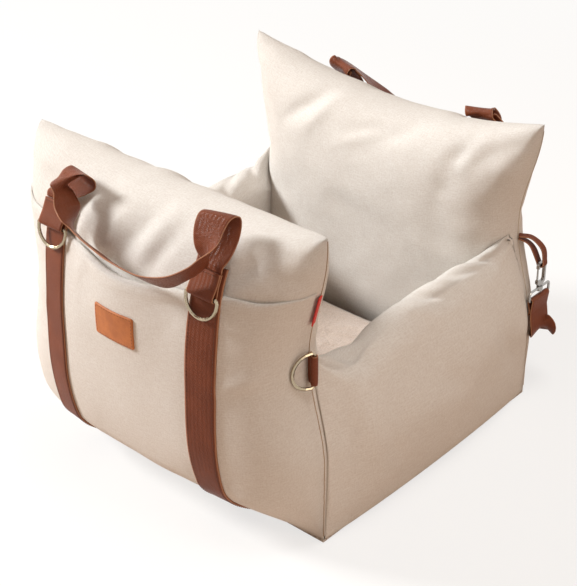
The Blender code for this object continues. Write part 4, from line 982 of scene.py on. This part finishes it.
FRONT_RIGHT_LOOP = stations([
    ((127, 282, 398), (100, -20, -10)), ((128, 272, 416), (90, -50, -15)),
    ((126, 265, 432), (90, -40, 0)), ((124, 267, 440), (95, -30, 0)),
    ((123, 278, 440), (95, -25, 0)), ((124, 288, 430), (95, -20, 15)),
    ((128, 296, 418), (90, -10, 40)), ((133, 300, 409), (75, 10, 65)),
    ((137, 304, 403), (50, 45, 75)), ((132, 314, 396), (45, 45, 80)),
    ((120, 322, 384), (45, 50, 75)), ((95, 328, 367), (30, 60, 70)),
    ((60, 329, 357), (5, 74, 66)),
])
FRONT_MIDDLE = stations([((10, 328, 357), (20, 70, 64))])[0]
FRONT_LEFT_LOOP = stations([
    ((-118, 282, 391), (-100, -10, 5)), ((-108, 275, 398), (-100, 0, 15)),
    ((-101, 270, 407), (-95, 0, 25)), ((-98, 273, 418), (-98, 0, 20)),
    ((-99, 284, 423), (-100, 5, -10)), ((-97, 294, 422), (-88, 25, -30)),
    ((-99, 302, 418), (-10, 95, 5)), ((-101, 307, 410), (40, 90, 20)),
    ((-96, 308, 403), (25, 95, 15)), ((-90, 310, 396), (10, 98, 15)),
    ((-84, 312, 390), (5, 98, 20)), ((-79, 316, 382), (30, 90, 30)),
    ((-74, 319, 373), (55, 65, 45)), ((-55, 321, 365), (45, 62, 56)),
    ((-25, 323, 359), (30, 68, 62)),
])
BACK_LOOP = stations([
    ((125, 266, 362), (100, 0, 0)), ((124, 257, 371), (100, 10, 0)),
    ((121, 254, 378), (98, 20, 5)), ((117, 260, 381), (96, 25, 5)),
    ((112, 270, 374), (92, 35, 10)), ((105, 281, 357), (85, 45, 20)),
    ((85, 293, 333), (65, 65, 35)), ((65, 302, 311), (35, 75, 55)),
    ((36, 309, 299), (10, 76, 64)),
])
BACK_MIDDLE = stations([((0, 311, 290), (0, 75.8, 65.2))])[0]
BACK_LOOP_LEAN = 0.014


def handle(side):
    """The carrying handle: a loop stands up from each keeper, and the band sags edge on between them."""
    sign = SIDE[side]
    climb = keeper_rise(side)
    pivot = ring_centre(side, 1.0) + climb * (KEEPER_HEIGHT + HANDLE_GAP)
    starts = []
    for rise in (0.0, HANDLE_START):
        foot = pivot + climb * rise
        starts.append(((foot.x, abs(foot.y), foot.z), (1.0, 0.0, 0.0)))
    if side == "front":
        right, middle, left = FRONT_RIGHT_LOOP, FRONT_MIDDLE, FRONT_LEFT_LOOP
    else:
        leans = [BACK_LOOP_LEAN * fade(0.350, 0.372, z) for (_, _, z), _ in BACK_LOOP]
        right = [((x - lean, y, z), turn) for lean, ((x, y, z), turn) in zip(leans, BACK_LOOP)]
        left = [((-x - lean, y, z), (-a, b, c)) for lean, ((x, y, z), (a, b, c)) in zip(leans, BACK_LOOP)]
        middle = BACK_MIDDLE
    ends = [((-x, y, z), (-a, b, c)) for (x, y, z), (a, b, c) in starts]
    route = starts + right + [middle] + list(reversed(ends + left))
    places = [Vector((x, sign * y, z)) for (x, y, z), _ in route]
    widths = [Vector((x, sign * y, z)) for _, (x, y, z) in route]
    path, across = smooth_path(places, widths, 340)
    item = ribbon(f"{side}_carry_webbing", path, across, WEBBING_WIDTH, "handle", f"{side}_handle", 0.0004,
                  square=side == "back")
    if side == "front":
        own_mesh(item)
    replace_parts(item, f"{side}_handle")


def folded_webbing(name, centre, bar, depth, rise, leg, node):
    """A short fold round a ring's bar: down the outer leg, round the bar and up behind it."""
    bar, depth, rise = bar.normalized(), depth.normalized(), rise.normalized()
    bend = RING_WIRE / 2 + TOUCH_GAP + WEBBING_THICKNESS / 2
    apart = KEEPER_SPREAD + WEBBING_THICKNESS / 2
    path = []
    for k in range(8):
        share = k / 8
        out = mix(apart, bend, fade(0.45, 1.0, share))
        path.append(centre + rise * mix(leg, 0.0, share) + depth * out)
    for k in range(13):
        turn = math.pi * k / 12
        path.append(centre + depth * (bend * math.cos(turn)) - rise * (bend * math.sin(turn)))
    for k in range(1, 9):
        share = k / 8
        out = mix(bend, apart, fade(0.0, 0.55, share))
        path.append(centre + rise * (leg * share) - depth * out)
    item = ribbon(name, path, [bar] * len(path), FOLD_LENGTH, "webbing", "bed")
    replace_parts(item, node)


def keeper(side, hand_name, hand):
    """The ring keeper with a row of stitches above the ring and another at its top."""
    centre = ring_centre(side, hand)
    rise = keeper_rise(side)
    out = Vector((0.0, SIDE[side], 0.0))
    depth = (out - rise * out.dot(rise)).normalized()
    folded_webbing(f"{side}_keeper_fold_{hand_name}", centre, Vector((1.0, 0.0, 0.0)), depth, rise,
                   KEEPER_HEIGHT, f"{side}_ring_keeper_{hand_name}")
    lift = KEEPER_SPREAD + WEBBING_THICKNESS + 0.0002
    for key, up in (("low", 0.0105), ("high", KEEPER_HEIGHT - 0.0035)):
        start = centre + rise * up + depth * lift
        row = [start + Vector(((k / 10 - 1.0) * FOLD_LENGTH * 0.47, 0.0, 0.0)) for k in range(21)]
        name = f"{side}_keeper_{hand_name}_{key}_seam"
        stitch_row(name, row, [depth] * 21, "thread", length=0.0026, gap=0.0012, radius=0.0004)


def corner_frame(wall, hand, z):
    """At a corner seam: the seam's place, the way out of the corner, and the way along the outer face."""
    seam = Vector((hand * wall.edge_x(z), wall.side * wall.seam_y(z), z))
    inboard = abs(seam.x) - RING_DROP * 0.55
    on_face = Vector((hand * inboard, wall.surface_y(inboard, z, OUT_BULGE), z))
    along = (on_face - seam).normalized()
    outward = Vector((-along.y, along.x, 0.0))
    if outward.x * hand < 0:
        outward = -outward
    return seam, outward, along


def corner_tab(hand_name, hand):
    seam, outward, along = corner_frame(FRONT, hand, CORNER_RING_HEIGHT)
    centre = seam + outward * CORNER_TAB_STANDOFF
    folded_webbing(f"corner_fold_{hand_name}", centre, Vector((0.0, 0.0, 1.0)), along, -outward,
                   CORNER_TAB_STANDOFF - 0.0015, f"corner_tab_{hand_name}")


def rear_loop(hand_name, hand):
    """Narrow webbing out of the rear corner seam, down round the snap hook's bow and back."""
    seam = Vector((hand * BACK.edge_x(LOOP_TOP_HEIGHT), BACK.seam_y(LOOP_TOP_HEIGHT), LOOP_TOP_HEIGHT))
    hang = Vector((hand * HANG[0], HANG[1], HANG[2]))
    outward, across, upright = Vector((hand, 0.0, 0.0)), Vector((0.0, 1.0, 0.0)), Vector((0.0, 0.0, 1.0))
    away = Vector((hang.x - seam.x, hang.y - seam.y, 0.0))
    seam_across = Vector((-away.y, away.x, 0.0)).normalized() * hand
    start = LOOP_STANDOFF / away.length
    drop = LOOP_TOP_HEIGHT - hang.z
    thick = WEBBING_THICKNESS / 2 + TOUCH_GAP

    def at(share, down):
        return seam + away * share - upright * down

    outer_leg = [at(start - 0.08, -thick), at(0.55, drop * 0.02), at(0.98, drop * 0.42) + outward * 0.001]
    inner_leg = [at(0.66, drop * 0.50), at(0.42, drop * 0.22), at(start - 0.08, thick * 1.6)]
    arc = []
    for k in range(17):
        turn = math.radians(20) - math.radians(200) * k / 16
        arc.append(hang + outward * (LOOP_BEND * math.cos(turn)) + upright * (LOOP_BEND * math.sin(turn)))
    turns = [seam_across, seam_across.lerp(across, 0.4), across, across]
    before, before_turns = smooth_path(outer_leg + arc[:1], turns, 26)
    after, after_turns = smooth_path(arc[-1:] + inner_leg, list(reversed(turns)), 22)
    path = before[:-1] + arc + after[1:]
    widths = before_turns[:-1] + [across] * len(arc) + after_turns[1:]
    item = ribbon(f"corner_loop_{hand_name}", path, widths, LOOP_WIDTH, "narrow", "strap")
    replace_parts(item, f"rear_loop_{hand_name}")


def strap_half(hand):
    """Route and width directions of the fixing strap's half, from behind the bed's middle to its tail."""
    outward, across, upright = Vector((hand, 0.0, 0.0)), Vector((0.0, 1.0, 0.0)), Vector((0.0, 0.0, 1.0))
    bar = Vector((hand * HANG[0], HANG[1], EYE_BAR_HEIGHT))
    bend = EYE_WIRE / 2 + TOUCH_GAP * 2 + WEBBING_THICKNESS / 2
    legs = WEBBING_THICKNESS / 2 + TOUCH_GAP

    def behind(x, z=STRAP_LEVEL):
        return Vector((hand * x, BACK.surface_y(x, z, OUT_BULGE, STRAP_STANDOFF), z))

    def flat_on(x):
        slope = behind(x, STRAP_LEVEL + WEBBING_WIDTH / 2) - behind(x, STRAP_LEVEL - WEBBING_WIDTH / 2)
        return slope.normalized()

    route = [(behind(x), flat_on(x)) for x in (0.0, 0.045, 0.09, 0.135, 0.170)]
    last = behind(0.196)
    route.append((last + across * 0.004, upright))
    low = bar + outward * 0.006
    low.z = STRAP_TURN_HEIGHT
    turn_place = (last + low) / 2 + outward * 0.010 + across * 0.011 - upright * 0.002
    route.append((turn_place, upright * 0.75 + across * -0.65))
    route.append((low, across * -1.0))
    route.append((bar + outward * legs - upright * 0.018, across * -1.0))
    places, widths = smooth_path([place for place, _ in route], [width for _, width in route], 110)
    for k in range(17):
        turn = math.pi * k / 16
        places.append(bar + outward * (bend * math.cos(turn)) + upright * (bend * math.sin(turn)))
        widths.append(across * -1.0)
    for k in range(1, 9):
        share = k / 8
        wave = 0.0006 * math.sin(share * 7.0)
        inward = mix(bend, legs, fade(0.1, 0.7, share)) + wave
        places.append(bar - outward * inward - upright * (STRAP_TAIL * share))
        widths.append(across * -1.0)
    return places, widths


def fixing_strap():
    """The webbing between the two snap hooks, hanging round behind the back wall."""
    right_places, right_widths = strap_half(1.0)
    left_places, left_widths = strap_half(-1.0)
    places = left_places[:0:-1] + right_places
    widths = left_widths[:0:-1] + right_widths
    item = ribbon("hanging_webbing", places, widths, WEBBING_WIDTH, "webbing", "strap")
    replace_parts(item, "fixing_strap")


def leather_patch():
    """The bare leather patch: rounded corners, a raised face with a rounded edge, and a stitched border."""
    columns, rows = 22, 14
    half_w, half_h = PATCH_WIDTH / 2, PATCH_HEIGHT / 2

    def on_patch(a, b):
        """A place in the rounded outline for shares from -1 to 1."""
        x, z = a * half_w, b * half_h
        over_x = max(0.0, abs(x) - (half_w - PATCH_CORNER))
        over_z = max(0.0, abs(z) - (half_h - PATCH_CORNER))
        reach = math.hypot(over_x, over_z)
        if over_x > 0.0 and over_z > 0.0 and reach > 0.0:
            limit = max(over_x, over_z) / reach
            x = math.copysign(half_w - PATCH_CORNER + over_x * limit, x)
            z = math.copysign(half_h - PATCH_CORNER + over_z * limit, z)
        return PATCH_OFFSET + x, PATCH_CENTRE_HEIGHT + z

    def spot(b, a):
        x, z = on_patch(a, b)
        rim = min((1.0 - abs(a)) * half_w, (1.0 - abs(b)) * half_h)
        groove = 0.00035 * smooth_bump(rim - 0.0024, 0.0012)
        dome = PATCH_THICKNESS * (0.72 + 0.28 * fade(0.0, 0.0008, rim)) - groove
        face, rear = [pocket_face_y(x, z, out) for out in (TOUCH_GAP * 0.5 + dome, -0.0002)]
        return Vector((x, face, z)), Vector((x, rear, z)), (x, z)

    top, under, places = grids(even(rows, 0.6), even(columns, 0.6), spot)
    item = slab_piece("stitched_patch", top, under, places, "leather", "bed")
    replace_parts(item, "leather_patch")
    inset = 0.0024
    reach_x, reach_z = half_w - inset, half_h - inset
    for key, ends in (("top", ((-1, 1), (1, 1))), ("right", ((1, 1), (1, -1))),
                      ("bottom", ((1, -1), (-1, -1))), ("left", ((-1, -1), (-1, 1)))):
        corners = [(PATCH_OFFSET + a * reach_x, PATCH_CENTRE_HEIGHT + b * reach_z) for a, b in ends]
        (xa, za), (xb, zb) = corners
        row = [(mix(xa, xb, k / 20), mix(za, zb, k / 20)) for k in range(21)]
        lift = PATCH_THICKNESS - 0.0001
        face_stitches(f"patch_border_{key}", pocket_face_y, row, lift, "patch_thread", -1.0)


def side_tag():
    """A fold of red tape standing a little way out of the right front corner seam."""
    work, layer = new_work()
    rows, columns = 20, 10
    outer, places = [], []
    for k in range(rows + 1):
        z = TAG_TOP_HEIGHT - TAG_LENGTH + TAG_LENGTH * k / rows
        seam, outward, along = corner_frame(FRONT, 1.0, z)
        aside = (along * 0.85 + outward * 0.53).normalized()
        over = Vector((-aside.y, aside.x, 0.0))
        line, spots = [], []
        for j in range(2 * columns + 1):
            share = j / columns - 1.0
            reach = -0.001 + (TAG_REACH + 0.001) * (1.0 - abs(share))
            apart = min(0.0010, 0.0010 * math.sqrt(max(0.0, TAG_REACH - reach) / 0.0008))
            curl = 0.0016 * (max(0.0, reach) / TAG_REACH) ** 2
            sideways = math.copysign(apart, share) + curl
            line.append(seam + aside * reach + over * sideways + outward * 0.0016)
            spots.append((share * TAG_REACH, z))
        outer.append(line)
        places.append(spots)
    add_patch(work, layer, outer, places)
    for row in (0, rows):
        ends = [work.verts.new(point) for point in outer[row]]
        work.faces.new(ends)
    close_up(work)
    item = finish_piece("side_tape", work, "tag", "bed")
    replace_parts(item, "side_tag")


def seam_shade_cord(name, wall, hand, low, high, out, material):
    """A fine cord along a side seam between the two faces, coloured as painted shade for the shadow line in
    the seam.
    """
    work, layer = new_work()
    rows, sides = 120, 6
    rings, places = [], []
    for k in range(rows + 1):
        z = mix(low, high, k / rows)
        across = hand * (wall.edge_x(z) + out)
        wander = 0.0005 * swell(0.0, 0.0, z, 90.0, 3.0)
        centre = Vector((across, wall.side * wall.seam_y(z) + wander, z))
        ring = []
        for n in range(sides + 1):
            turn = 2 * math.pi * (n % sides) / sides
            ring.append(centre + Vector((math.cos(turn), math.sin(turn), 0.0)) * CORD_RADIUS)
        rings.append(ring)
        places.append([(n * CORD_RADIUS, z) for n in range(sides + 1)])
    add_patch(work, layer, rings, places)
    close_up(work)
    finish_piece(name, work, material, "bed")


def stage():
    """Floor and world: white to the camera and to shiny pieces, and warmer in the light they give."""
    bpy.ops.mesh.primitive_plane_add(size=30.0, location=(0.0, 0.0, -0.0006))
    floor = bpy.context.object
    floor.name = "studio_floor"
    n = new_material("studio_white")
    n.tree.nodes.clear()
    ray = n.add("ShaderNodeLightPath").outputs
    colour = n.blend(ray["Is Diffuse Ray"], (0.90, 0.89, 0.88), (0.68, 0.55, 0.46))
    matte = n.add("ShaderNodeBsdfDiffuse", {0: colour}).outputs[0]
    glow = n.add("ShaderNodeEmission", {0: (1.0, 0.995, 0.985), 1: 1.0}).outputs[0]
    distance = n.add("ShaderNodeVectorMath", {0: n.place()}, operation="LENGTH").outputs["Value"]
    seen = n.math("MAXIMUM", ray["Is Camera Ray"], ray["Is Glossy Ray"])
    n.output("ShaderNodeOutputMaterial", n.times(seen, n.spread(distance, 0.7, 2.4, 0.72, 1.0)), matte, glow)
    floor.data.materials.append(n.owner)

    n = Nodes(bpy.data.worlds.new("studio"))
    n.tree.nodes.clear()
    ray = n.add("ShaderNodeLightPath").outputs
    soft = n.add("ShaderNodeBackground", {0: (1.0, 0.70, 0.50), 1: 0.31}).outputs[0]
    white = n.add("ShaderNodeBackground", {0: (1.0, 0.997, 0.99), 1: 1.0}).outputs[0]
    seen = n.math("MAXIMUM", ray["Is Camera Ray"], ray["Is Glossy Ray"])
    seen = n.math("MAXIMUM", seen, ray["Is Transmission Ray"])
    n.output("ShaderNodeOutputWorld", seen, soft, white)
    bpy.context.scene.world = n.owner


def hang(data, place, aim):
    """Places a lamp or the camera so that it looks along a direction."""
    item = bpy.data.objects.new(data.name, data)
    bpy.context.collection.objects.link(item)
    item.location = place
    item.rotation_euler = aim.to_track_quat("-Z", "Y").to_euler()
    return item


def lamp(name, place, size, power, colour):
    data = bpy.data.lights.new(name, "AREA")
    data.shape = "DISK"
    data.size = size
    data.energy = power
    data.color = colour
    hang(data, place, LAMP_TARGET - Vector(place))


def camera():
    """The photograph's own camera."""
    azimuth, elevation = math.radians(CAMERA_AZIMUTH), math.radians(CAMERA_ELEVATION)
    level = math.cos(elevation)
    back = Vector((math.sin(azimuth) * level, -math.cos(azimuth) * level, math.sin(elevation)))
    data = bpy.data.cameras.new("photo_camera")
    data.sensor_width = SENSOR_WIDTH
    data.lens = CAMERA_FOCAL * SENSOR_WIDTH
    bpy.context.scene.camera = hang(data, CAMERA_TARGET + back * CAMERA_DISTANCE, -back)


LAMP_TARGET = Vector((0.0, 0.0, 0.2))
CAMERA_TARGET = Vector((0.016, -0.032, 0.188))
CAMERA_AZIMUTH = 41.2
CAMERA_ELEVATION = 31.0
CAMERA_DISTANCE = 2.115
CAMERA_FOCAL = 1600.0 / 586.0
SENSOR_WIDTH = 36.0

camera()
stage()
lamp("key", (-2.40, -1.40, 1.80), 0.8, 136.0, (0.985, 1.0, 1.0))
lamp("fill", (2.8, -0.2, 1.2), 1.8, 20.0, (1.0, 0.87, 0.76))
lamp("top", (0.6, 0.1, 2.7), 1.2, 26.0, (0.99, 1.0, 0.99))

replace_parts(pillow("front_pillow", FRONT, 120, 110), "front_wall_cover", "front_wall_filling")
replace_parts(pillow("back_pillow", BACK, 120, 110), "back_wall_cover", "back_wall_filling")
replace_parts(bolster("left_side_bolster", -1.0), "left_bolster_cover", "left_bolster_filling")
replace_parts(bolster("right_side_bolster", 1.0), "right_bolster_cover", "right_bolster_filling")
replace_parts(seat_cushion(), "seat_cushion_cover", "seat_cushion_foam")
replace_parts(front_pocket(), "front_pocket")
for side_name in SIDE:
    for word, sign in HANDS:
        sewn_strap(side_name, word, sign)
        keeper(side_name, word, sign)
    handle(side_name)
for word, sign in HANDS:
    corner_tab(word, sign)
    rear_loop(word, sign)
    # Painted shade: thin tan and cream cords along the side seams stand for the shadow lines in them.
    seam_shade_cord(f"front_seam_shade_{word}", FRONT, sign, 0.010, FRONT_HEIGHT - 0.004, 0.0002, "tan_shade_cord")
    seam_shade_cord(f"back_seam_shade_{word}", BACK, sign, 0.012, BACK_HEIGHT - 0.010, 0.0003, "cream_shade_thread")
fixing_strap()
leather_patch()
side_tag()

NODE_FINISH = {
    "corner_ring": "ring", "front_ring": "ring", "back_ring": "ring", "snap_hook": "hook",
    "hook_gate": "hook", "swivel_eye": "hook", "base_panel": "base",
}
for node_name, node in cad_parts.items():
    for key, finish in NODE_FINISH.items():
        if key in node_name:
            for slot_item in node.material_slots:
                slot_item.material = MATERIALS[finish]
            break

bpy.context.scene.view_settings.view_transform = "Standard"
